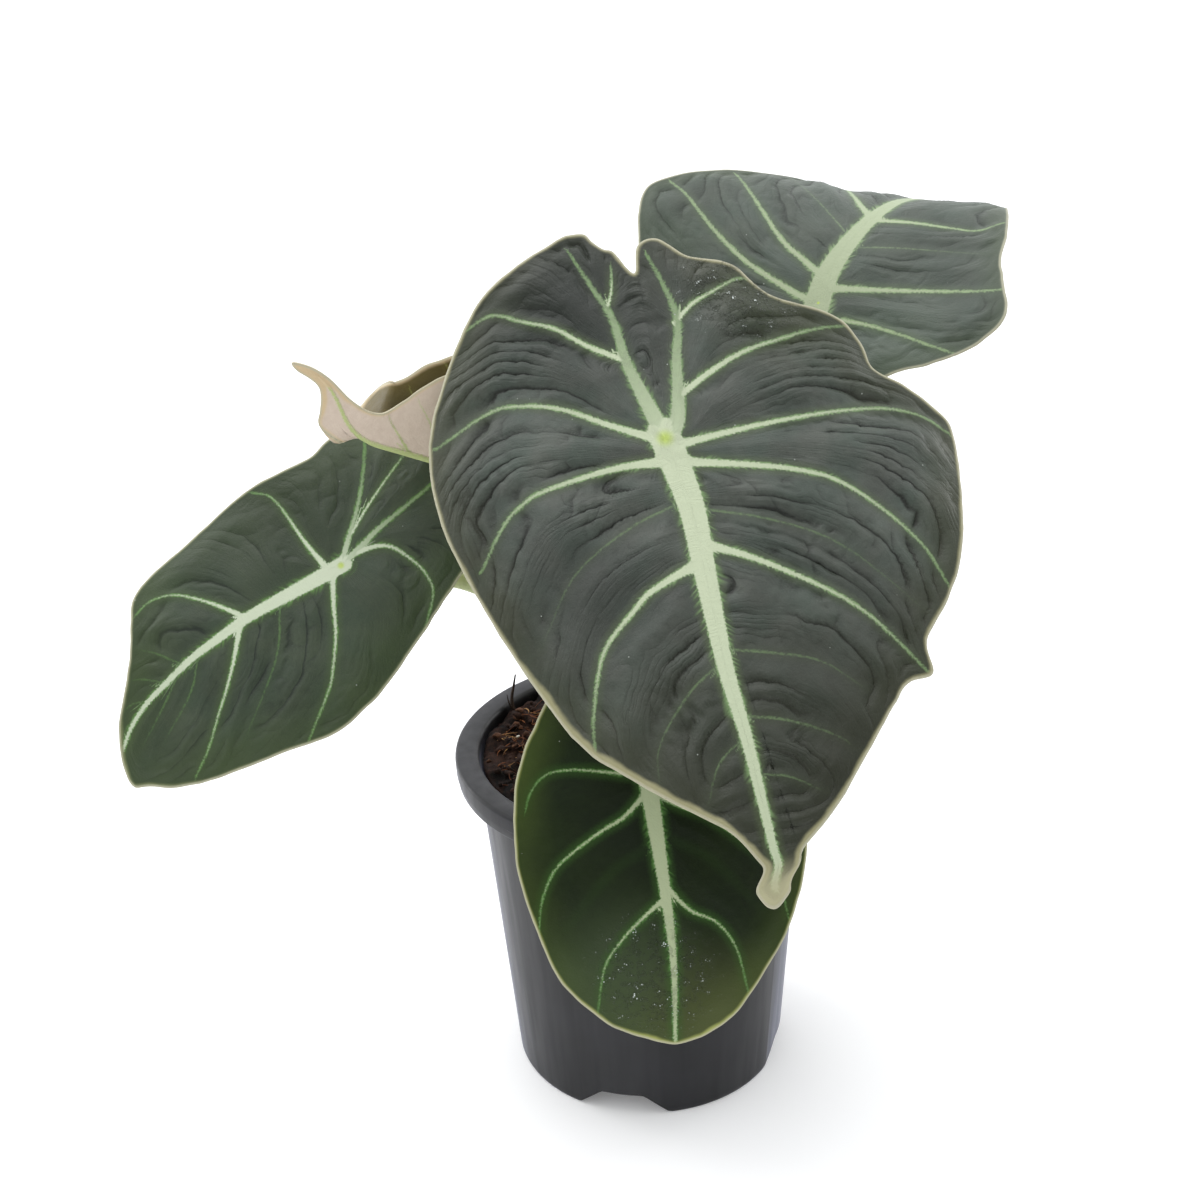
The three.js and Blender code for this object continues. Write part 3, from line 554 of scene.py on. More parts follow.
def flat_blade(outline, rings):
    """A closed slab: z is 1 on its upper face, 0 on its rim and -1 on its under face.

    The grid's rows run from the middle of the upper face out to the rim and back below.
    """
    bm, column, row = rolled_grid(len(outline), 2 * rings + 2)
    level = rings + 1 - row
    size = (np.minimum(rings + 1 - np.abs(level), rings) / rings) ** 0.8  # closer at the rim
    size[level == 0] = 1.003  # the rim stands just past both faces
    flat = outline[column % len(outline)] * size[:, None]
    for vert, (x, y), z in zip(bm.verts, flat, np.sign(level)):
        vert.co = (x, y, z)
    bmesh.ops.remove_doubles(bm, verts=bm.verts[:], dist=1e-4)
    return bm


def join(bm, part, material=0):
    """Adds a finished part to a piece's mesh."""
    bmesh.ops.recalc_face_normals(part, faces=part.faces[:])
    for face in part.faces:
        face.material_index = material
    mesh = as_mesh(part, "part")
    bm.from_mesh(mesh)
    bpy.data.meshes.remove(mesh)


def tube(bm, centres, radii, sides, groove=0.0, material=0):
    """Adds a closed tube through the centres; groove sinks a channel along one side."""
    centres = [Vector(c) for c in centres]
    across = (centres[1] - centres[0]).orthogonal()
    frames = []
    for index in range(len(centres)):
        ahead = centres[min(index + 1, len(centres) - 1)] - centres[max(index - 1, 0)]
        along = ahead.normalized()
        across = (across - along * across.dot(along)).normalized()
        frames.append((across, along.cross(across)))
    part, column, row = rolled_grid(sides, len(centres) - 1)
    for vert, c, r in zip(part.verts, column, row):
        turn = 2 * math.pi * (c % sides) / sides
        reach = radii[r] * (1 - groove * math.exp(-((math.cos(turn) - 1) / 0.18) ** 2))
        across, third = frames[r]
        vert.co = centres[r] + (across * math.cos(turn) + third * math.sin(turn)) * reach
    bmesh.ops.remove_doubles(part, verts=part.verts[:], dist=min(radii) * 1e-3)
    bmesh.ops.holes_fill(part, edges=part.edges[:], sides=0)
    join(bm, part, material)


def finish_piece(bm, name, materials, node):
    """Makes the finished mesh an object that stands for a node of the solid model."""
    for face in bm.faces:
        face.smooth = True
    piece = show(name, as_mesh(bm, name))
    for material in materials:
        piece.data.materials.append(material)
    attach(piece, "root")
    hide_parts(node)
    return piece


def store(mesh, name, columns):
    """Keeps three numbers for each vertex under a name that the material reads."""
    values = np.zeros((len(mesh.vertices), 3), np.float32)
    values[:len(columns[0])] = np.column_stack(columns)
    mesh.attributes.new(name, "FLOAT_VECTOR", "POINT").data.foreach_set("vector", values.ravel())


# ---------------------------------------------------------------- material tools
MIX_A, MIX_B, MIXED = 6, 7, 2  # colour sockets of the Mix node


def linear(code):
    """Linear colour, with alpha, of an sRGB hex value."""
    channels = [int(code[i:i + 2], 16) / 255 for i in (1, 3, 5)]
    return (*(c / 12.92 if c <= 0.04045 else ((c + 0.055) / 1.055) ** 2.4 for c in channels),
            1.0)


def add(tree, kind, sockets=None, **settings):
    """Adds a shader node with its settings; sockets maps inputs to values or to other sockets.

    A Math node's inputs are 0 to 2. A MapRange takes input 0 from the range 1 to 2 to the range
    3 to 4, which is 0 to 1 where it isn't given.
    """
    made = tree.nodes.new("ShaderNode" + kind)
    for key, value in settings.items():
        setattr(made, key, value)
    for key, value in (sockets or {}).items():
        if isinstance(value, bpy.types.Node):
            value = value.outputs[0]
        if isinstance(value, bpy.types.NodeSocket):
            tree.links.new(value, made.inputs[key])
        else:
            made.inputs[key].default_value = value
    return made


def new_material(name, **constants):
    """A material and its node tree; the constants go to the shader's sockets of those names."""
    material = bpy.data.materials.new(name)
    material.use_nodes = True
    shader = material.node_tree.nodes["Principled BSDF"]
    for key, value in constants.items():
        shader.inputs[key.replace("_", " ")].default_value = value
    return material, material.node_tree


def finish_material(material, colour, height=None, distance=MM, strength=1.0, rough=None):
    """Leads the colour, the bump of a height and the roughness to the shader."""
    tree = material.node_tree
    shader = tree.nodes["Principled BSDF"]
    tree.links.new(colour, shader.inputs["Base Color"])
    if rough is not None:
        tree.links.new(rough.outputs[0], shader.inputs["Roughness"])
    if height is not None:
        bump = add(tree, "Bump", {"Height": height, "Distance": distance, "Strength": strength})
        tree.links.new(bump.outputs[0], shader.inputs["Normal"])
    return material


def read(tree, name):
    """The three numbers that store kept on each vertex."""
    attribute = add(tree, "Attribute", attribute_name=name)
    return add(tree, "SeparateXYZ", {0: attribute.outputs["Vector"]}).outputs


def coats(tree, tone, *layers):
    """Lays coats of colour over a tone, each as strong as its mask."""
    for mask, colour in layers:
        tone, colour = (linear(c) if isinstance(c, str) else c for c in (tone, colour))
        tone = add(tree, "Mix", {0: mask, MIX_A: tone, MIX_B: colour},
                   data_type="RGBA").outputs[MIXED]
    return tone


def round_patch(tree, place, middle, rim, core, outside=0.0, inside=1.0):
    """Goes smoothly from one number outside a round patch to another one in its core."""
    offset = add(tree, "VectorMath", {0: place, 1: (*middle, 0)}, operation="DISTANCE")
    return add(tree, "MapRange", {0: offset.outputs["Value"], 1: rim, 2: core, 3: outside,
                                  4: inside}, interpolation_type="SMOOTHSTEP")


def specks(tree, place, scale, rim, core, bare):
    """Round specks; bare is the share of the pattern's cells that hold none."""
    cells = add(tree, "TexVoronoi", {"Vector": place, "Scale": scale})
    dot = add(tree, "MapRange", {0: cells.outputs["Distance"], 1: rim, 2: core})
    chance = add(tree, "SeparateColor", {0: cells.outputs["Color"]}).outputs[0]
    chosen = add(tree, "Math", {0: chance, 1: bare}, operation="GREATER_THAN")
    return add(tree, "Math", {0: dot, 1: chosen}, operation="MULTIPLY")


# ---------------------------------------------------------------- leaf skin
def vein_masks(tree, far, fine):
    """Masks of a vein's pale core, of its whole width, of the glow beside it and of its barbs.

    A vein's edge is fuzzy, and thin barbs run from it into the blade, slanting to the tip.
    """
    across, half, along = read(tree, "vein")
    # distance to the vein's centre: exact near it, where the signed distance is smooth
    near = add(tree, "Math", {0: across}, operation="ABSOLUTE")
    choice = add(tree, "MapRange", {0: far, 1: 1.4, 2: 2.4}, interpolation_type="SMOOTHSTEP")
    distance = add(tree, "Mix", {0: choice, 2: near, 3: far}, data_type="FLOAT")
    outside = add(tree, "Math", {0: distance, 1: half}, operation="SUBTRACT")
    ragged = add(tree, "Math", {0: fine.outputs["Fac"], 1: 1.3, 2: outside},
                 operation="MULTIPLY_ADD")
    ragged = add(tree, "Math", {0: ragged, 1: 0.65}, operation="SUBTRACT")
    core, vein, glow = (
        add(tree, "MapRange", {0: ragged, 1: rim, 2: full}, interpolation_type="SMOOTHSTEP")
        for rim, full in ((0.1, -0.55), (0.3, -0.45), (2.6, 0.0)))

    slanted = add(tree, "Math", {0: distance, 1: -0.8, 2: along}, operation="MULTIPLY_ADD")
    half_side = add(tree, "Math", {0: across, 1: 0.0}, operation="GREATER_THAN")
    lane = add(tree, "CombineXYZ", {0: slanted, 1: distance, 2: half_side})
    lane = add(tree, "VectorMath", {0: lane, 1: (1.0, 0.12, 37.0)}, operation="MULTIPLY")
    rows = add(tree, "TexNoise", {"Vector": lane, "Scale": 1 / 2.5, "Detail": 1.0})
    off_row = add(tree, "Math", {0: rows.outputs["Fac"], 1: 0.5}, operation="SUBTRACT")
    off_row = add(tree, "Math", {0: off_row}, operation="ABSOLUTE")
    thread = add(tree, "MapRange", {0: off_row, 1: 0.11, 2: 0.02},
                 interpolation_type="SMOOTHSTEP")
    lots = add(tree, "TexNoise", {"Vector": lane, "Scale": 1 / 5.0, "Detail": 2.0})
    share = add(tree, "MapRange", {0: lots.outputs["Fac"], 1: 0.4, 2: 0.68, 3: 0.08, 4: 1.0})
    longest = add(tree, "MapRange", {0: half, 1: 0.3, 2: 3.0, 3: 0.6, 4: 4.2})
    reach = add(tree, "Math", {0: share, 1: longest}, operation="MULTIPLY")
    gone = add(tree, "Math", {0: outside, 1: reach}, operation="DIVIDE")
    left = add(tree, "MapRange", {0: gone, 1: 1.0, 2: 0.0})
    left = add(tree, "Math", {0: left, 1: 1.6}, operation="POWER")
    barb = add(tree, "Math", {0: left, 1: thread}, operation="MULTIPLY")
    return core, vein, glow, barb


def crease_masks(tree, fields, mottle):
    """Painted shade in the creases, and the relief that goes with them.

    The painted shade of each crease is sharp on its side towards the tip and fades on its other
    side.
    """
    creases = relief = 0.0
    for phase, strength in fields:
        phase = add(tree, "Math", {0: mottle.outputs["Fac"], 1: 0.14, 2: phase},
                    operation="MULTIPLY_ADD")
        phase = add(tree, "Math", {0: phase, 1: 0.07}, operation="SUBTRACT")
        whole = add(tree, "Math", {0: phase}, operation="ROUND")
        past = add(tree, "Math", {0: phase, 1: whole}, operation="SUBTRACT")
        sharp = add(tree, "MapRange", {0: past, 1: -0.08, 2: 0.0},
                    interpolation_type="SMOOTHSTEP")
        soft = add(tree, "MapRange", {0: past, 1: 0.34, 2: 0.0})
        soft = add(tree, "Math", {0: soft, 1: 2.2}, operation="POWER")
        crease = add(tree, "Math", {0: soft, 1: sharp}, operation="MULTIPLY")
        creases = add(tree, "Math", {0: crease, 1: strength, 2: creases},
                      operation="MULTIPLY_ADD")
        turns = add(tree, "Math", {0: past, 1: math.pi}, operation="MULTIPLY")
        wave = add(tree, "Math", {0: turns}, operation="SINE")
        size = add(tree, "Math", {0: wave}, operation="ABSOLUTE")
        ridge = add(tree, "Math", {0: size, 1: RIDGE_POWER}, operation="POWER")
        groove = add(tree, "Math", {0: ridge, 1: 1.0}, operation="SUBTRACT")
        relief = add(tree, "Math", {0: groove, 1: strength, 2: relief},
                     operation="MULTIPLY_ADD")
    return creases, relief


def lamina_tone(tree, look, place, edge, creases, grains):
    """Colour between the veins: mottled, with painted shade in the creases and tinted near the
    margin; patches of painted shade and painted sheen lie over it.
    """
    cloud = add(tree, "TexNoise", {"Vector": place, "Scale": 1 / 24, "Detail": 3.0})
    level = add(tree, "MapRange", {0: cloud.outputs["Fac"], 1: 0.3, 2: 0.72, 3: 0.45, 4: 1.0})
    for grain, amount in grains:
        level = add(tree, "Math", {0: grain.outputs["Fac"], 1: amount, 2: level},
                    operation="MULTIPLY_ADD")
    level = add(tree, "Math", {0: level, 1: 0.45}, operation="SUBTRACT")
    # painted shade: the creases darken the skin's colour below its randomly mottled level
    lit = add(tree, "Math", {0: creases, 1: -0.95, 2: level}, operation="MULTIPLY_ADD",
              use_clamp=True)
    dabs = add(tree, "TexNoise", {"Vector": place, "Scale": 1 / 15, "Detail": 2.0})
    cooler = add(tree, "MapRange", {0: dabs.outputs["Fac"], 1: 0.4, 2: 0.62, 3: 0.0, 4: 0.55})
    bright = coats(tree, look["light"], (cooler, look["cool"]))
    tinted = add(tree, "MapRange", {0: edge, 1: look["tint_reach"], 2: 0.0, 3: 0.0, 4: 0.75},
                 interpolation_type="SMOOTHSTEP")
    patchy = add(tree, "Math", {0: tinted, 1: cloud.outputs["Fac"]}, operation="MULTIPLY")
    patchy = add(tree, "Math", {0: patchy, 1: 1.8}, operation="MULTIPLY", use_clamp=True)
    # painted shade and painted sheen: darker patches where a blade turns from the light, paler
    # ones where it catches sheen
    shade_and_sheen_zones = [(round_patch(tree, place, (zone_x, zone_y), reach, 0.0, 0.0, most), tint)
             for zone_x, zone_y, reach, tint, most in look["shade_and_sheen_zones"]]
    return coats(tree, look["shade"], (lit, bright), (patchy, look["rim_tint"]), *shade_and_sheen_zones)


def margin_band(tree, look, tip_y, place, y, edge):
    """Mask of the pale margin, which widens towards the tip."""
    base_width, tip_width = look["band_mm"]
    width = add(tree, "MapRange", {0: y, 1: tip_y * 0.72, 2: tip_y, 3: base_width,
                                   4: tip_width}, interpolation_type="SMOOTHSTEP")
    uneven = add(tree, "TexNoise", {"Vector": place, "Scale": 1 / 9, "Detail": 2.0})
    factors = [uneven, 1.9]
    if look["swell"]:
        swell_x, swell_y, reach, times = look["swell"]
        factors.append(round_patch(tree, place, (swell_x, swell_y), reach, reach * 0.3, 1.0,
                                   times))
    for factor in factors:
        width = add(tree, "Math", {0: width, 1: factor}, operation="MULTIPLY")
    inside = add(tree, "Math", {0: edge, 1: width}, operation="SUBTRACT")
    return add(tree, "MapRange", {0: inside, 1: 0.9, 2: -0.5}, interpolation_type="SMOOTHSTEP")


def leaf_skin(name, look, tip_y):
    """Velvety leaf skin: microscopic hairs scatter light at grazing angles, so that it looks
    grey over nearly black green; thick veins show through as pale cream with ragged edges."""
    material, tree = new_material(
        name, IOR=1.42, Sheen_Weight=look["sheen"], Sheen_Roughness=0.45,
        Sheen_Tint=linear("#c9d2c6"), Specular_IOR_Level=look["shine"])
    edge, far, pale = read(tree, "blade")
    flowing, flow_strength, from_middle = read(tree, "flow")
    rippling, ripple_strength, bold = read(tree, "ripple")
    crossing, cross_strength, _ = read(tree, "cross")
    x, y, side = read(tree, "chart")
    place = add(tree, "CombineXYZ", {0: x, 1: y, 2: 0.0}).outputs[0]
    mottle = add(tree, "TexNoise", {"Vector": place, "Scale": 1 / 2.2, "Detail": 4.0,
                                    "Roughness": 0.65})
    fine = add(tree, "TexNoise", {"Vector": place, "Scale": 1 / 0.6, "Detail": 2.0})
    lines = add(tree, "CombineXYZ", {
        0: add(tree, "Math", {0: flowing, 1: look["pitch_mm"]}, operation="MULTIPLY"),
        1: add(tree, "Math", {0: from_middle, 1: 0.3}, operation="MULTIPLY")})
    streaks = add(tree, "TexNoise", {"Vector": lines, "Scale": 1 / 2.2, "Detail": 3.0,
                                     "Roughness": 0.6})
    core, vein, glow, barb = vein_masks(tree, far, fine)
    creases, relief = crease_masks(
        tree, ((flowing, flow_strength), (rippling, ripple_strength),
               (crossing, cross_strength)), mottle)
    lamina = lamina_tone(tree, look, place, edge, creases, ((mottle, 0.5), (streaks, 0.42)))

    # upper face: veins over the lamina, then the margin, the bleached tip and a little dust
    glow_share = add(tree, "Math", {0: pale, 1: 0.5, 2: 0.04}, operation="MULTIPLY_ADD")
    glow, threads, paler, shown = (
        add(tree, "Math", {0: mask, 1: share}, operation="MULTIPLY")
        for mask, share in ((glow, glow_share), (barb, bold), (core, pale), (vein, bold)))
    vein_tone = coats(tree, look["vein_end"], (paler, look["vein"]))
    hub = round_patch(tree, place, (0, 0), look["hub"], 0.3, 0.0, 0.8)
    band = margin_band(tree, look, tip_y, place, y, edge)
    tip = add(tree, "MapRange", {0: y, 1: tip_y * 0.905, 2: tip_y * 0.97, 3: 0.0,
                                 4: look["tip"]}, interpolation_type="SMOOTHSTEP")
    dust = specks(tree, place, 1 / 3.4, 0.07, 0.035, 1 - look["dust"])
    upper = coats(tree, lamina, (glow, look["halo"]), (threads, look["vein_end"]),
                  (shown, vein_tone), (hub, "#b2c84a"), (band, look["band"]),
                  (tip, look["tip_tone"]), (dust, "#a3a8a0"))

    # under face: paler, with the veins standing out; a whitish line runs on the very edge
    flush = add(tree, "MapRange", {0: mottle.outputs["Fac"], 1: 0.3, 2: 0.7, 3: 0.0, 4: 0.35})
    under = coats(tree, look["under"], (flush, "#b39f8d"), (shown, look["under_vein"]),
                  (band, look["band"]))
    which = add(tree, "MapRange", {0: side, 1: -0.2, 2: 0.2})
    line = add(tree, "MapRange", {0: edge, 1: 0.75, 2: 0.25, 3: 0.0, 4: 0.75})
    skin = coats(tree, under, (which, upper), (line, "#b3b098"))

    rough = add(tree, "MapRange", {0: mottle.outputs["Fac"], 1: 0.3, 2: 0.7,
                                   3: look["rough"] - 0.05, 4: look["rough"] + 0.08})
    relief = add(tree, "Math", {0: relief, 1: 0.5 * look["wrinkle"]}, operation="MULTIPLY")
    for grain, amount in ((mottle, 0.22), (fine, 0.1), (streaks, 0.25 * look["wrinkle"])):
        relief = add(tree, "Math", {0: grain.outputs["Fac"], 1: amount, 2: relief},
                     operation="MULTIPLY_ADD")
    if look["wet"]:
        # a wet patch gleams, with lower roughness and more bump; painted highlights, small
        # whitish specks in clumps, stand for the glints on its water drops
        wet_x, wet_y, reach = look["wet"]
        drops = add(tree, "TexNoise", {"Vector": place, "Scale": 1 / 3.0, "Detail": 5.0,
                                       "Roughness": 0.7})
        films = add(tree, "MapRange", {0: drops.outputs["Fac"], 1: 0.5, 2: 0.6})
        wet = round_patch(tree, place, (wet_x, wet_y), reach, reach * 0.4)
        wet = add(tree, "Math", {0: wet, 1: films}, operation="MULTIPLY")
        rough = add(tree, "Math", {0: wet, 1: -0.34, 2: rough}, operation="MULTIPLY_ADD")
        relief = add(tree, "Math", {0: wet, 1: 0.45, 2: relief}, operation="MULTIPLY_ADD")
        painted_glints = specks(tree, place, 1 / 0.55, 0.5, 0.3, 0.45)
        clumps = add(tree, "MapRange", {0: drops.outputs["Fac"], 1: 0.58, 2: 0.64})
        for mask in (clumps, wet):
            painted_glints = add(tree, "Math", {0: painted_glints, 1: mask}, operation="MULTIPLY")
        skin = coats(tree, skin, (painted_glints, "#d5dcd8"))
    return finish_material(material, skin, relief, strength=0.8, rough=rough)


# ---------------------------------------------------------------- other materials
def petiole_skin(name, low_tone, high_tone):
    """Leaf stalk: juicy, smooth and faintly streaked, browner where it leaves the mix."""
    material, tree = new_material(name, IOR=1.42, Specular_IOR_Level=0.45, Roughness=0.42)
    place = add(tree, "TexCoord").outputs["Object"]
    height = add(tree, "SeparateXYZ", {0: place}).outputs["Z"]
    way = add(tree, "MapRange", {0: height, 1: 108 * MM, 2: 170 * MM},
              interpolation_type="SMOOTHSTEP")
    long_grain = add(tree, "Mapping", {"Vector": place, "Scale": (1, 1, 0.12)})
    streaks = add(tree, "TexNoise", {"Vector": long_grain, "Scale": 700.0, "Detail": 3.0})
    speckle = add(tree, "TexNoise", {"Vector": place, "Scale": 900.0, "Detail": 2.0})
    level = add(tree, "MapRange", {0: streaks.outputs["Fac"], 1: 0.35, 2: 0.7, 3: 0.0, 4: 0.4})
    spots = add(tree, "MapRange", {0: speckle.outputs["Fac"], 1: 0.66, 2: 0.72, 3: 0, 4: 0.35})
    tone = coats(tree, low_tone, (way, high_tone), (level, "#8d8f66"), (spots, "#7a5a48"))
    return finish_material(material, tone, streaks, 0.15 * MM)


def stem_skin():
    """Short upright rhizome: corky, ringed with brown leaf scars over olive tissue."""
    material, tree = new_material("rhizome_bark", IOR=1.45, Roughness=0.75)
    place = add(tree, "TexCoord").outputs["Object"]
    flat = add(tree, "Mapping", {"Vector": place, "Scale": (1, 1, 5)})
    rings = add(tree, "TexNoise", {"Vector": flat, "Scale": 160.0, "Detail": 5.0})
    tone = coats(tree, "#3f2f20", (rings, "#8a8355"))
    return finish_material(material, tone, rings, 0.6 * MM)


def pot_plastic(tone):
    """Injection-moulded polypropylene, dark blue grey: satin, with faint flow lines, fine
    grain from the mould and a little dust that handling leaves. Its inner wall is painted
    near black, as painted shade."""
    material, tree = new_material(
        "moulded_polypropylene", IOR=1.49, Specular_IOR_Level=0.4, Sheen_Weight=0.38,
        Sheen_Roughness=0.21, Sheen_Tint=linear("#dde2fc"))
    place = add(tree, "TexCoord").outputs["Object"]
    upright = add(tree, "Mapping", {"Vector": place, "Scale": (1, 1, 0.06)})
    flow = add(tree, "TexNoise", {"Vector": upright, "Scale": 260.0, "Detail": 3.0})
    grain = add(tree, "TexNoise", {"Vector": place, "Scale": 2600.0, "Detail": 2.0})
    cloud = add(tree, "TexNoise", {"Vector": place, "Scale": 45.0, "Detail": 4.0})
    scuff = add(tree, "MapRange", {0: cloud.outputs["Fac"], 1: 0.4, 2: 0.75, 3: 0.0, 4: 0.3})

    # painted shade: the inner wall is painted near black, as the shade inside the pot; the mask
    # is how deep a point lies behind a cone that runs inside the wall and steps outwards under
    # the collar
    plan = add(tree, "VectorMath", {0: place, 1: AXIS}, operation="SUBTRACT")
    plan = add(tree, "VectorMath", {0: plan, 1: (1, 1, 0)}, operation="MULTIPLY")
    radius = add(tree, "VectorMath", {0: plan}, operation="LENGTH").outputs["Value"]
    height = add(tree, "SeparateXYZ", {0: place}).outputs["Z"]
    slope = (POT["body_top"] - POT["foot"]) / POT_HEIGHT
    collar_low = POT_HEIGHT - POT["collar_drop"]
    cone_foot = add(tree, "MapRange", {
        0: height, 1: (collar_low - 0.4) * MM, 2: (collar_low + 0.2) * MM,
        3: (POT["foot"] - 0.65) * MM, 4: (POT["foot"] + 0.25) * MM})
    cone = add(tree, "Math", {0: height, 1: slope, 2: cone_foot}, operation="MULTIPLY_ADD")
    depth = add(tree, "Math", {0: cone, 1: radius}, operation="SUBTRACT")
    inner = add(tree, "MapRange", {0: depth, 1: 0.0, 2: 0.2 * MM, 3: 0.0, 4: 0.95})

    base = coats(tree, (*tone, 1.0), (scuff, "#27272f"),
                 (specks(tree, place, 170.0, 0.09, 0.05, 0.965), "#15131a"),
                 (inner, "#070504"))
    rough = add(tree, "MapRange", {0: flow.outputs["Fac"], 1: 0.3, 2: 0.7, 3: 0.36, 4: 0.5})
    relief = add(tree, "Math", {0: grain.outputs["Fac"], 1: 0.5, 2: flow.outputs["Fac"]},
                 operation="MULTIPLY_ADD")
    return finish_material(material, base, relief, 0.06 * MM, 0.6, rough)


def mix_crumb(name, dark, pale, rough=0.9):
    """Peat, coir pith or bark: dry, rough and uneven in tone from crumb to crumb."""
    material, tree = new_material(name, IOR=1.45, Roughness=rough, Specular_IOR_Level=0.25)
    place = add(tree, "TexCoord").outputs["Object"]
    lumps = add(tree, "TexNoise", {"Vector": place, "Scale": 420.0, "Detail": 5.0,
                                   "Roughness": 0.65})
    blots = add(tree, "TexNoise", {"Vector": place, "Scale": 95.0, "Detail": 2.0})
    level = add(tree, "Math", {0: lumps.outputs["Fac"], 1: blots.outputs["Fac"]},
                operation="MULTIPLY")
    level = add(tree, "MapRange", {0: level, 1: 0.16, 2: 0.36})
    return finish_material(material, coats(tree, dark, (level, pale)), lumps, 0.8 * MM)


def studio_paper():
    """Matt white background paper on a light table, with the slight unevenness of pulp."""
    material, tree = new_material(
        "background_paper", Roughness=0.9, Specular_IOR_Level=0.1,
        Emission_Color=linear("#ffffff"), Emission_Strength=0.14)
    place = add(tree, "TexCoord").outputs["Object"]
    pulp = add(tree, "TexNoise", {"Vector": place, "Scale": 8.0, "Detail": 2.0})
    return finish_material(material, coats(tree, "#f4f4f4", (pulp, "#fafafa")))


# ---------------------------------------------------------------- building a leaf
def ridges(phase):
    """Rounded ridges with sharp creases between them, one for each step of the phase."""
    return np.abs(np.sin(np.pi * phase)) ** RIDGE_POWER


def crease_phase(look, x, y, flow, edge):
    """Number of creases passed on the way along the flow; a crease lies at each whole one."""
    warp = (0.4 * noise_at(x, y, 30, 3.1) + 0.2 * noise_at(x, y, 9, 8.7)
            + 0.12 * noise_at(x, y, 3.6, 4.4))
    return (flow + 26 * np.exp(-edge / 13)) / look["pitch_mm"] + warp


def crease_fields(leaf, look, outline, x, y, field, edge):
    """Phases and strengths of the creases, of the ripples and of the cross folds of a blade.

    Creases flow with the side veins and bend to the tip near the margin, each with a strength
    of its own. Finer ripples run between them, and short folds cross from one to the next, in
    places. Where the flow is too even or too crowded, and at the veins, the blade is smooth:
    calm, which comes last, is 0 there.
    """
    _, half, _, far, _, _, flow, from_middle = field
    clear = np.clip(far - half, 0, None)
    flowing = crease_phase(look, x, y, flow, edge)
    steep, step = [], 0.5
    for dx, dy in ((step, 0), (0, step)):
        moved_flow = vein_field(leaf, outline, x + dx, y + dy, look["minor"])[6]
        moved_edge = edge_distance(outline[::2], x + dx, y + dy)
        moved = crease_phase(look, x + dx, y + dy, moved_flow, moved_edge)
        steep.append((moved - flowing) / step * look["pitch_mm"])
    crowding = np.hypot(*steep)
    rippling = 3.1 * flowing + 1.3 * noise_at(x, y, 11, 7.7) + 0.4 * noise_at(x, y, 4, 2.2)
    crossing = (from_middle / 12 + 0.37 * np.floor(flowing) + 0.7 * noise_at(x, y, 14, 2.9)
                + 0.25 * noise_at(x, y, 5, 6.1))
    calm = (1 - np.exp(-(clear / 1.6) ** 2)) * smooth(edge, 0.5, 4) * look["creased"]
    calm *= smooth(np.hypot(x, y), 6, 22)
    calm *= smooth(crowding, 0.25, 0.7) * (1 - smooth(crowding, 2.1, 4))
    deep = np.clip(0.7 + 1.8 * noise_at(np.round(flowing) * 7.3, from_middle, 16, 5.3), 0.08,
                   1.15)
    flow_strength = calm * deep
    ripple_strength = 0.3 * calm * np.clip(0.2 + 1.8 * noise_at(x, y, 15, 6.4), 0, 1)
    cross_strength = (0.6 * calm * ridges(flowing) * smooth(from_middle, 6, 16)
                      * np.clip(0.2 + 2.0 * noise_at(x, y, 17, 8.8), 0, 1))
    return ((flowing, flow_strength), (rippling, ripple_strength),
            (crossing, cross_strength), calm)


def build_leaf(name, relief, blade_mm):
    """Blade and petiole of one leaf in one closed-skinned mesh."""
    leaf, look = LEAVES[name], LOOKS[name]
    cuts = max(4, round(400 / len(leaf["margin"])))  # about 400 points round the blade
    outline = curve_through(leaf["margin"], cuts, closed=True)
    # the margin is uneven by up to about 0.35 mm
    outline *= 1 + (0.35 * noise_at(*outline.T, 5, 1.7) / np.hypot(*outline.T))[:, None]
    bm = bmesh.new()
    join(bm, flat_blade(outline, round(leaf["half_width"] * 1.1)))
    x, y, side = np.array([v.co for v in bm.verts]).T
    field = vein_field(leaf, outline, x, y, look["minor"])
    across, half, along, far, pale, bold, _, from_middle = field
    edge = edge_distance(outline[::2], x, y)
    edge[side == 0] = 0
    *creases, calm = crease_fields(leaf, look, outline, x, y, field, edge)

    # the blade swells between its veins, and a rib stands under each of them
    puff = look["puff"] * (1 - np.exp(-(np.clip(far - half, 0, None) / 6) ** 2))
    puff = puff * smooth(edge, 0, 8) + look["wrinkle"] * 0.9 * noise_at(x, y, 13, 9.9) * calm
    sunk = sum(strength * (ridges(phase) - 1) for phase, strength in creases)
    height = relief * (puff - 0.3 * look["puff"] + look["wrinkle"] * sunk)
    ribs = np.where(side < 0, 0.55 * np.sqrt(np.clip(half ** 2 - far ** 2, 0, None)), 0)
    joint_pad = 1.5 * np.exp(-((np.hypot(x, y) / 14) ** 2)) * (side < 0)
    offset = side * blade_mm / 2 + height - ribs - joint_pad
    places = blade_points(leaf, x, y) + blade_normals(leaf, x, y) * offset[:, None]
    for vert, place in zip(bm.verts, places * MM):
        vert.co = Vector(place) + AXIS

    add_petiole(bm, leaf)
    materials = [leaf_skin(name + "_skin", look, leaf["margin"][0][1]),
                 petiole_skin(name + "_stalk", "#8b7a52", "#b7c08c")]
    piece = finish_piece(bm, name + "_blade_and_stalk", materials, name)
    flowing, rippling, crossing = creases
    for attribute, columns in {
            "vein": (across, half, along), "blade": (edge, far, pale),
            "flow": (*flowing, from_middle), "ripple": (*rippling, bold),
            "cross": (*crossing, side), "chart": (x, y, side)}.items():
        store(piece.data, attribute, columns)
    return piece


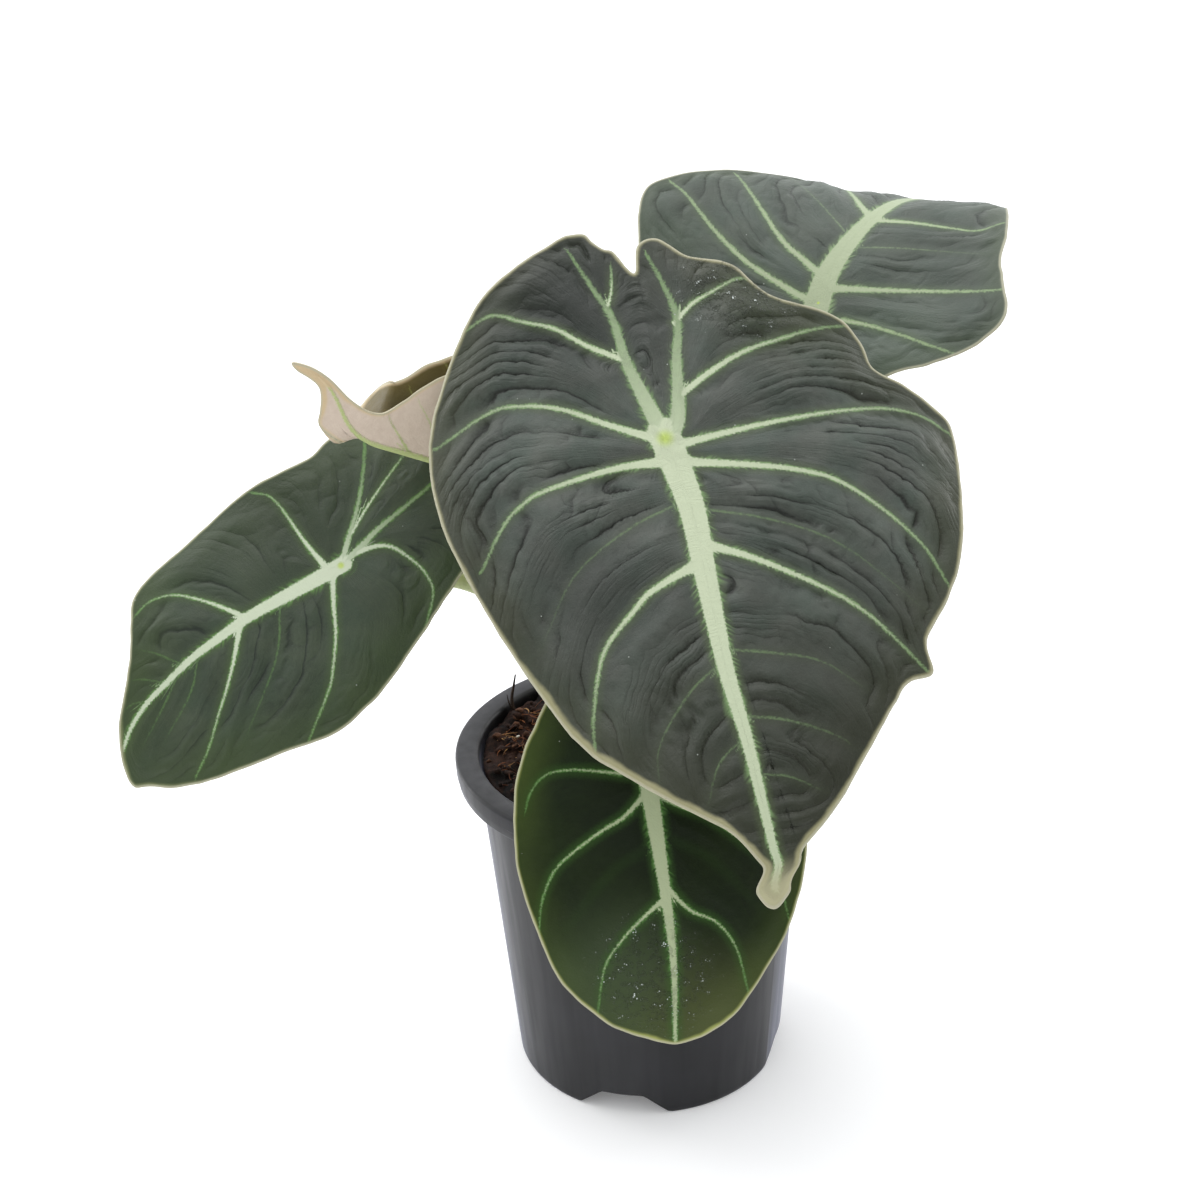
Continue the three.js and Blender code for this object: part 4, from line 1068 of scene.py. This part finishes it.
def add_petiole(bm, leaf):
    """The stalk, thicker at its foot, up to the joint under the blade."""
    up = leaf_axes(leaf)[2]
    joint = np.array(leaf["joint"], float)
    points = [np.array(p, float) for p in leaf["petiole"]]
    lean = joint - points[-1]
    lean = lean / np.linalg.norm(lean) + up
    lean /= np.linalg.norm(lean)
    points += [joint - 14 * lean, joint - 4 * up, joint - 0.9 * up]
    line = curve_through(points, 14, power=0.5)
    gone = np.concatenate([[0], np.cumsum(np.linalg.norm(np.diff(line, axis=0), axis=1))])
    way = gone / gone[-1]
    thick, thin = leaf["radius"]
    radii = thin * (1 + (thick / thin - 1) * (1 - way) ** 1.5)
    centres = [Vector(p * MM) + AXIS for p in line]
    tube(bm, centres, radii * MM, 20, groove=0.12, material=1)


# ---------------------------------------------------------------- stem, mix and pot
def lathe(profile, steps):
    """Spins a profile of radius and height round the pot's axis."""
    bm = bmesh.new()
    corners = [bm.verts.new((r * MM, 0, z * MM)) for r, z in profile]
    edges = [bm.edges.new(pair) for pair in zip(corners, corners[1:])]
    bmesh.ops.spin(bm, geom=corners + edges, axis=(0, 0, 1), cent=(0, 0, 0),
                   angle=2 * math.pi, steps=steps, use_merge=True)
    bmesh.ops.remove_doubles(bm, verts=bm.verts[:], dist=0.01 * MM)
    bmesh.ops.recalc_face_normals(bm, faces=bm.faces[:])
    return bm


def build_stem():
    """Short ringed stem between the petioles."""
    profile = [(0, STEM_FOOT), (STEM_RADIUS - 1, STEM_FOOT), (STEM_RADIUS, STEM_FOOT + 1)]
    rings = 14
    for ring in range(rings + 1):
        z = SOIL_LEVEL - 3 + (STEM_TOP - 3 - SOIL_LEVEL) * ring / rings
        swell = 0.35 * (ring % 2)
        profile.append((STEM_RADIUS - 0.5 + swell - 1.2 * (ring / rings) ** 4, z))
    profile += [(STEM_RADIUS - 2.6, STEM_TOP - 0.7), (0, STEM_TOP)]
    bm = lathe(profile, 40)
    for vert in bm.verts:
        push = 0.25 * MM * noise.noise(vert.co * 420)
        vert.co += Vector((vert.co.x, vert.co.y, 0)).normalized() * min(push, 0)
    bmesh.ops.translate(bm, vec=AXIS, verts=bm.verts[:])
    return finish_piece(bm, "rhizome", [stem_skin()], "stem")


def soil_height(x, y):
    """Top of the mix, in mm, without its crumbs."""
    r = np.hypot(x, y)
    radii, shares = zip(*reversed(SOIL_RISE))
    level = SOIL_LEVEL + (SOIL_CROWN - SOIL_LEVEL) * np.interp(r, radii, shares)
    bump = (0.9 * np.sin(0.31 * x + 1.3) * np.cos(0.27 * y - 0.4)
            + 0.5 * np.sin(0.6 * y + 0.5 * x))
    heap = SOIL_HEAP * smooth(r, 24, 46) * smooth(-x, 4, 32)
    return level + heap + bump * np.minimum(1, r / 12)


def pot_wall(z):
    """Outer radius of the pot's body at a height, both in mm."""
    return POT["foot"] + (POT["body_top"] - POT["foot"]) * z / POT_HEIGHT


def soil_body(inside):
    """The mix as a whole: smooth wall and base, rough top."""
    rings, sides = 52, 220
    bm, column, row = rolled_grid(sides, rings + 2)
    low = pot_wall(SOIL_BASE) - POT["wall"] - 0.6
    reach = np.where(row <= rings, inside * row / rings, np.where(row == rings + 1, low, 0))
    turn = 2 * math.pi * (column % sides) / sides
    x, y = reach * np.cos(turn), reach * np.sin(turn)
    rough = (1.5 * noise_at(x, y, 5.5, 1.0) + 1.0 * noise_at(x, y, 2.4, 2.0)
             + 0.6 * noise_at(x, y, 1.2, 3.0) - 0.7)
    z = np.where(row <= rings, soil_height(x, y) + rough, SOIL_BASE)
    for vert, place in zip(bm.verts, zip(x, y, z)):
        vert.co = place
    bmesh.ops.remove_doubles(bm, verts=bm.verts[:], dist=1e-3)
    bmesh.ops.recalc_face_normals(bm, faces=bm.faces[:])
    return bm


def soil_spot(rng, reach):
    """A random place on top of the mix, at most reach from the pot's axis."""
    turn, far = rng.uniform(0, 2 * math.pi), reach * math.sqrt(rng.random())
    x, y = far * math.cos(turn), far * math.sin(turn)
    return Vector((x, y, float(soil_height(np.array([x]), np.array([y]))[0])))


def add_lumps(bm, rng, inside, count, sizes, squashes, material, detail):
    """Strews knobbly lumps; sizes and squashes are the least and the most."""
    batch = 40
    for first in range(0, count, batch):
        part = bmesh.new()
        for _ in range(min(batch, count - first)):
            size = rng.uniform(*sizes)
            squash = rng.uniform(*squashes)
            middle = soil_spot(rng, inside - size - 0.6) + Vector((0, 0, size * 0.15))
            place = (Matrix.Translation(middle)
                     @ Matrix.Rotation(rng.uniform(0, 6.28), 4, "Z")
                     @ Matrix.Rotation(rng.uniform(-0.7, 0.7), 4, "X")
                     @ Matrix.Diagonal((1.0, rng.uniform(0.6, 1.0), squash, 1.0)))
            made = bmesh.ops.create_icosphere(part, subdivisions=detail, radius=size,
                                              matrix=place)
            for vert in made["verts"]:
                out = (vert.co - middle).normalized()
                push = 0.5 * noise.noise(vert.co * 1.7 / size)
                vert.co += size * (push + 0.3 * noise.noise(vert.co * 3.4 / size)) * out
        join(bm, part, material)


def add_fibre(bm, rng, inside, stick, material):
    """Lays a bowed fibre, or a thicker stick, on the mix and within the pot."""
    foot = soil_spot(rng, inside - 5) + Vector((0, 0, 0.2))
    length = rng.uniform(3, 9)
    turn, rise = rng.uniform(0, 6.28), rng.uniform(-0.05, 0.5)
    heading = Vector((math.cos(turn), math.sin(turn), rise)).normalized()
    bow = Vector((-heading.y, heading.x, rng.uniform(-0.2, 0.6))) * rng.uniform(-0.8, 0.8)
    line = []
    for way in (0, 0.25, 0.5, 0.75, 1):
        point = foot + (heading * (way - 0.4) + bow * way * (1 - way)) * length
        if point.xy.length > inside - 0.8:
            point.xy *= (inside - 0.8) / point.xy.length
        line.append(point)
    wide = rng.uniform(0.3, 0.55) if stick else rng.uniform(0.09, 0.2)
    tube(bm, line, [wide * share for share in (0.5, 1, 1, 0.9, 0.35)], 6 if stick else 4,
         material=material)


def build_mix(crumbs, fibres):
    """Peat and coir mix: a rough top with loose crumbs, fibres, bark and a little perlite."""
    rng = random.Random(11)
    inside = pot_wall(SOIL_LEVEL) - POT["wall"] - 0.5
    bm = soil_body(inside)
    for count, sizes, squashes, material, detail in (
            (crumbs * 2 // 3, (0.5, 1.3), (0.5, 0.9), PEAT, 1),
            (crumbs // 3, (0.5, 1.4), (0.4, 0.9), BARK, 1),
            (crumbs // 12, (1.2, 2.6), (0.35, 0.7), PEAT, 2),
            (crumbs // 9, (1.2, 2.4), (0.3, 0.6), BARK, 2),
            (14, (0.6, 1.1), (0.8, 0.9), PERLITE, 2)):
        add_lumps(bm, rng, inside, count, sizes, squashes, material, detail)
    for number in range(fibres):
        add_fibre(bm, rng, inside, number % 30 == 0, BROWN_FIBRE if number % 3 else COIR)
    for points, foot, top in ((STRAND, 0.8, 0.25), (TWIG, 0.35, 0.14)):
        line = curve_through(points, 4)
        tube(bm, line, np.linspace(foot, top, len(line)), 5, material=DARK_FIBRE)
    bmesh.ops.scale(bm, vec=(MM, MM, MM), verts=bm.verts[:])
    bmesh.ops.translate(bm, vec=AXIS, verts=bm.verts[:])
    materials = [mix_crumb("peat_crumb", "#080403", "#37221a"),
                 mix_crumb("bark_crumb", "#20130d", "#5a3c2c"),
                 mix_crumb("coir_fibre", "#6c492d", "#cc9e6a", rough=0.8),
                 mix_crumb("perlite", "#b9b4a8", "#e6e2d8", rough=0.7),
                 mix_crumb("dark_fibre", "#1c1512", "#3b2e27", rough=0.8),
                 mix_crumb("brown_fibre", "#4c2a1b", "#8c5636", rough=0.8)]
    return finish_piece(bm, "peat_and_coir_mix", materials, "potting_mix")


def pot_profile():
    """Half section of the pot, from the floor's middle round to its underside, in mm."""
    top, collar, mouth, wall = POT_HEIGHT, RIM_RADIUS, POT["mouth"], POT["wall"]
    foot, floor, collar_wall = POT["foot"], POT["floor"], POT["collar_wall"]
    low = top - POT["collar_drop"]
    step = top - POT["collar_drop"] * 0.62  # where the collar's face steps in a little
    inside = floor + POT["floor_thick"]
    inner = [
        (0, inside), (pot_wall(inside) - wall - 1.2, inside),
        (pot_wall(inside) - wall - 0.3, inside + 0.3), (pot_wall(inside) - wall, inside + 1.2),
        (mouth - 0.55, top - 2.2), (mouth - 0.3, top - 1.0), (mouth + 0.1, top - 0.35),
        (mouth + 0.7, top)]
    collar_outer = [
        (collar - 1.2, top), (collar - 0.6, top - 0.15), (collar - 0.15, top - 0.55),
        (collar, top - 1.2), (collar - 0.1, step), (collar - 0.45, step - 0.35),
        (collar - 0.6, low + 0.4), (collar - 0.8, low)]
    collar_inner = [
        (collar - 0.4 - collar_wall, low), (collar - 0.6 - collar_wall, low + 0.4),
        (collar - 0.4 - collar_wall, top - collar_wall), (pot_wall(top), top - collar_wall)]
    body = [(pot_wall(low), low), (pot_wall(2), 2), (pot_wall(1), 1.0)]
    foot_ring = [
        (foot - 0.25, 0.25), (foot - 0.6, 0), (foot - wall - 0.3, 0), (foot - wall - 0.1, 0.4)]
    underside = [(pot_wall(floor) - wall, floor), (0, floor)]
    return inner + collar_outer + collar_inner + body + foot_ring + underside


def cutter(points, low, high):
    """A prism on the given plan of x and z that runs from y = low to y = high, in mm."""
    bm = bmesh.new()
    face = bm.faces.new([bm.verts.new((x * MM, low * MM, z * MM)) for x, z in points])
    made = bmesh.ops.extrude_face_region(bm, geom=[face])
    bmesh.ops.translate(bm, vec=(0, (high - low) * MM, 0),
                        verts=new_of(made, bmesh.types.BMVert))
    bmesh.ops.recalc_face_normals(bm, faces=bm.faces[:])
    return bm


def build_pot(tone):
    """Round nursery pot with a turned-down collar, notches in its foot and drain holes."""
    foot, top, high = POT["notch_foot"] / 2, POT["notch_top"] / 2, POT["notch_high"]
    half_notch = [(top - 1.0, high), (top + 0.4, high - 0.2), (top + 1.6, high - 1.0),
                  (foot - 1.2, 0.7), (foot, 0.1), (foot + 2, -1)]
    notch = [(-x, z) for x, z in reversed(half_notch)] + half_notch
    radius = POT["drain_radius"] * MM
    cuts = bmesh.new()
    for number in range(4):
        turn = math.radians(POT["notch_turn"] + 90 * number - 90)
        cut = cutter(notch, 32, 56)  # from inside the foot ring to past its outer face
        bmesh.ops.transform(cut, matrix=Matrix.Rotation(turn - math.pi / 2, 4, "Z"),
                            verts=cut.verts[:])
        join(cuts, cut)
        hole = Matrix.Rotation(turn + math.pi / 4, 4, "Z") @ Matrix.Translation(
            (POT["drain_circle"] * MM, 0, POT["floor"] * MM))
        bmesh.ops.create_cone(cuts, cap_ends=True, segments=40, radius1=radius,
                              radius2=radius, depth=8 * MM, matrix=hole)
    tool = show("pot_cuts", as_mesh(cuts, "pot_cuts"))
    shell = show("pot_shell", as_mesh(lathe(pot_profile(), 180), "pot_shell"))
    notches = shell.modifiers.new("notches", "BOOLEAN")
    notches.operation = "DIFFERENCE"
    notches.solver = "EXACT"
    notches.object = tool
    soften = shell.modifiers.new("soft_edges", "BEVEL")
    soften.width = 0.25 * MM
    soften.segments = 2
    soften.limit_method = "ANGLE"
    soften.angle_limit = math.radians(50)
    finished = bpy.data.meshes.new_from_object(
        shell.evaluated_get(bpy.context.evaluated_depsgraph_get()))
    for scrap in (shell, tool):
        bpy.data.objects.remove(scrap)
    bm = bmesh.new()
    bm.from_mesh(finished)
    bpy.data.meshes.remove(finished)
    bmesh.ops.translate(bm, vec=AXIS, verts=bm.verts[:])
    piece = finish_piece(bm, "nursery_pot", [pot_plastic(tone)], "pot")
    piece.data.set_sharp_from_angle(angle=math.radians(40))
    return piece


# ---------------------------------------------------------------- stage
CAMERA_PLACE = (-11.3, -561.0, 438.7)  # mm from the pot's axis
CAMERA_DIP = 25.9  # degrees below level
CAMERA_ROLL = -2.33  # degrees
CAMERA_LENS = 60.0  # mm
# name, place, width and height in metres, and share of the key light's power
SOFTBOXES = (("top_softbox", (-0.35, 0.35, 1.5), 1.6, 1.4, 1.0),
             ("left_softbox", (-0.9, 0.55, 0.35), 0.35, 0.9, 0.35),
             ("right_softbox", (0.9, 0.65, 0.35), 0.3, 0.9, 0.2),
             ("front_fill", (0.4, -1.7, 1.3), 1.2, 1.0, 0.08))
SOFTBOX_AIM = (0, 0, 0.16)


def softbox(name, place, width, height, power):
    """A soft light that faces the middle of the plant."""
    data = bpy.data.lights.new(name, "AREA")
    data.shape = "RECTANGLE"
    data.size = width
    data.size_y = height
    data.energy = power
    lamp = show(name, data)
    lamp.location = place
    ahead = Vector(SOFTBOX_AIM) - Vector(place)
    lamp.rotation_euler = ahead.to_track_quat("-Z", "Y").to_euler()


def studio_sky(strength):
    """Light from all round: brightest above and behind the plant, dim behind the viewer."""
    world = bpy.data.worlds.new("studio")
    world.use_nodes = True
    tree = world.node_tree
    way = add(tree, "TexCoord").outputs["Generated"]
    slope = add(tree, "VectorMath", {0: way, 1: (-0.12, 0.42, 0.9)},
                operation="DOT_PRODUCT").outputs["Value"]
    level = add(tree, "MapRange", {0: slope, 1: -0.45, 2: 0.75, 3: 0.12, 4: 1.25},
                interpolation_type="SMOOTHSTEP")
    shade = tree.nodes["Background"]
    shade.inputs["Color"].default_value = linear("#fbfcff")
    scaled = add(tree, "Math", {0: level, 1: strength}, operation="MULTIPLY")
    tree.links.new(scaled.outputs[0], shade.inputs["Strength"])
    bpy.context.scene.world = world


def build_stage(settings):
    """Paper floor, soft lights and the camera."""
    bm = bmesh.new()
    bmesh.ops.create_circle(bm, cap_ends=True, segments=96, radius=7)
    floor = show("paper_floor", as_mesh(bm, "paper_floor"))
    floor.data.materials.append(studio_paper())

    studio_sky(settings.ambient)
    for name, place, width, height, share in SOFTBOXES:
        softbox(name, place, width, height, settings.key * share)

    dip, roll = math.radians(CAMERA_DIP), math.radians(CAMERA_ROLL)
    back = Vector((0, -math.cos(dip), math.sin(dip)))
    level, rise = Vector((1, 0, 0)), Vector((0, math.sin(dip), math.cos(dip)))
    right = math.cos(roll) * level + math.sin(roll) * rise
    up = -math.sin(roll) * level + math.cos(roll) * rise
    data = bpy.data.cameras.new("camera")
    data.lens = CAMERA_LENS
    data.sensor_width = 36
    data.clip_start = 0.01
    camera = show("camera", data)
    place = Vector(CAMERA_PLACE) * MM + AXIS
    turn = Matrix((right, up, back)).transposed().to_4x4()
    camera.matrix_world = Matrix.Translation(place) @ turn
    bpy.context.scene.camera = camera
    bpy.context.scene.view_settings.view_transform = "Standard"


# ---------------------------------------------------------------- add-on
class LeafSettings(bpy.types.PropertyGroup):
    """What a user may change on the leaves."""

    relief: bpy.props.FloatProperty(
        name="Relief", description="Strength of the quilting and wrinkles of the blades",
        default=1.0, min=0.0, max=2.0, subtype="FACTOR")
    blade: bpy.props.FloatProperty(
        name="Blade thickness", description="Thickness of a blade at its margin",
        default=0.7 * MM, min=0.3 * MM, max=2 * MM, unit="LENGTH", subtype="DISTANCE")


class PotSettings(bpy.types.PropertyGroup):
    """What a user may change on the pot and the mix."""

    tone: bpy.props.FloatVectorProperty(
        name="Plastic", description="Colour of the pot's plastic", subtype="COLOR",
        default=linear("#08090e")[:3], min=0.0, max=1.0)
    crumbs: bpy.props.IntProperty(
        name="Crumbs", description="Loose crumbs on the potting mix", default=760, min=0)
    fibres: bpy.props.IntProperty(
        name="Fibres", description="Coir fibres on the potting mix", default=900, min=0)


class StageSettings(bpy.types.PropertyGroup):
    """What a user may change on the stage."""

    key: bpy.props.FloatProperty(
        name="Key light", description="Power of the softbox above the plant",
        default=9.0, min=0.0, unit="POWER")
    ambient: bpy.props.FloatProperty(
        name="Ambient", description="Strength of the light from all round", default=1.15,
        min=0.0)


class ALOCASIA_OT_pot(bpy.types.Operator):
    """Builds the nursery pot"""

    bl_idname = "alocasia.pot"
    bl_label = "Nursery pot"

    def execute(self, context):
        build_pot(tuple(context.scene.alocasia_pot.tone))
        return {"FINISHED"}


class ALOCASIA_OT_mix(bpy.types.Operator):
    """Builds the potting mix with its crumbs and fibres"""

    bl_idname = "alocasia.mix"
    bl_label = "Potting mix"

    def execute(self, context):
        settings = context.scene.alocasia_pot
        build_mix(settings.crumbs, settings.fibres)
        return {"FINISHED"}


class ALOCASIA_OT_stem(bpy.types.Operator):
    """Builds the short stem that the leaves grow from"""

    bl_idname = "alocasia.stem"
    bl_label = "Stem"

    def execute(self, context):
        build_stem()
        return {"FINISHED"}


class ALOCASIA_OT_grown_leaves(bpy.types.Operator):
    """Builds the four grown leaves, each with its stalk"""

    bl_idname = "alocasia.grown_leaves"
    bl_label = "Grown leaves"

    def execute(self, context):
        settings = context.scene.alocasia_leaves
        for name in LEAVES:
            if name != "leaf_young":
                build_leaf(name, settings.relief, settings.blade / MM)
        return {"FINISHED"}


class ALOCASIA_OT_young_leaf(bpy.types.Operator):
    """Builds the newest leaf, still folded, with its stalk"""

    bl_idname = "alocasia.young_leaf"
    bl_label = "Young leaf"

    def execute(self, context):
        settings = context.scene.alocasia_leaves
        build_leaf("leaf_young", settings.relief, settings.blade / MM)
        return {"FINISHED"}


class ALOCASIA_OT_stage(bpy.types.Operator):
    """Sets up the paper floor, the lights and the camera"""

    bl_idname = "alocasia.stage"
    bl_label = "Stage"

    def execute(self, context):
        build_stage(context.scene.alocasia_stage)
        return {"FINISHED"}


STEPS = (ALOCASIA_OT_pot, ALOCASIA_OT_mix, ALOCASIA_OT_stem, ALOCASIA_OT_grown_leaves,
         ALOCASIA_OT_young_leaf, ALOCASIA_OT_stage)


class ALOCASIA_PT_panel(bpy.types.Panel):
    """Lists the steps and their settings"""

    bl_idname = "ALOCASIA_PT_panel"
    bl_label = "Velvet alocasia"
    bl_space_type = "VIEW_3D"
    bl_region_type = "UI"
    bl_category = "Alocasia"

    def draw(self, context):
        for group, names in (("alocasia_leaves", ("relief", "blade")),
                             ("alocasia_pot", ("tone", "crumbs", "fibres")),
                             ("alocasia_stage", ("key", "ambient"))):
            for name in names:
                self.layout.prop(getattr(context.scene, group), name)
        for step in STEPS:
            self.layout.operator(step.bl_idname)


GROUPS = {"alocasia_leaves": LeafSettings, "alocasia_pot": PotSettings,
          "alocasia_stage": StageSettings}


def register():
    for cls in (*GROUPS.values(), *STEPS, ALOCASIA_PT_panel):
        bpy.utils.register_class(cls)
    for name, group in GROUPS.items():
        setattr(bpy.types.Scene, name, bpy.props.PointerProperty(type=group))


def unregister():
    for name in GROUPS:
        delattr(bpy.types.Scene, name)
    for cls in reversed((*GROUPS.values(), *STEPS, ALOCASIA_PT_panel)):
        bpy.utils.unregister_class(cls)


def main():
    register()
    bpy.ops.alocasia.stage()
    bpy.ops.alocasia.pot()
    bpy.ops.alocasia.mix()
    bpy.ops.alocasia.stem()
    bpy.ops.alocasia.grown_leaves()
    bpy.ops.alocasia.young_leaf()


if __name__ == "__main__":
    main()
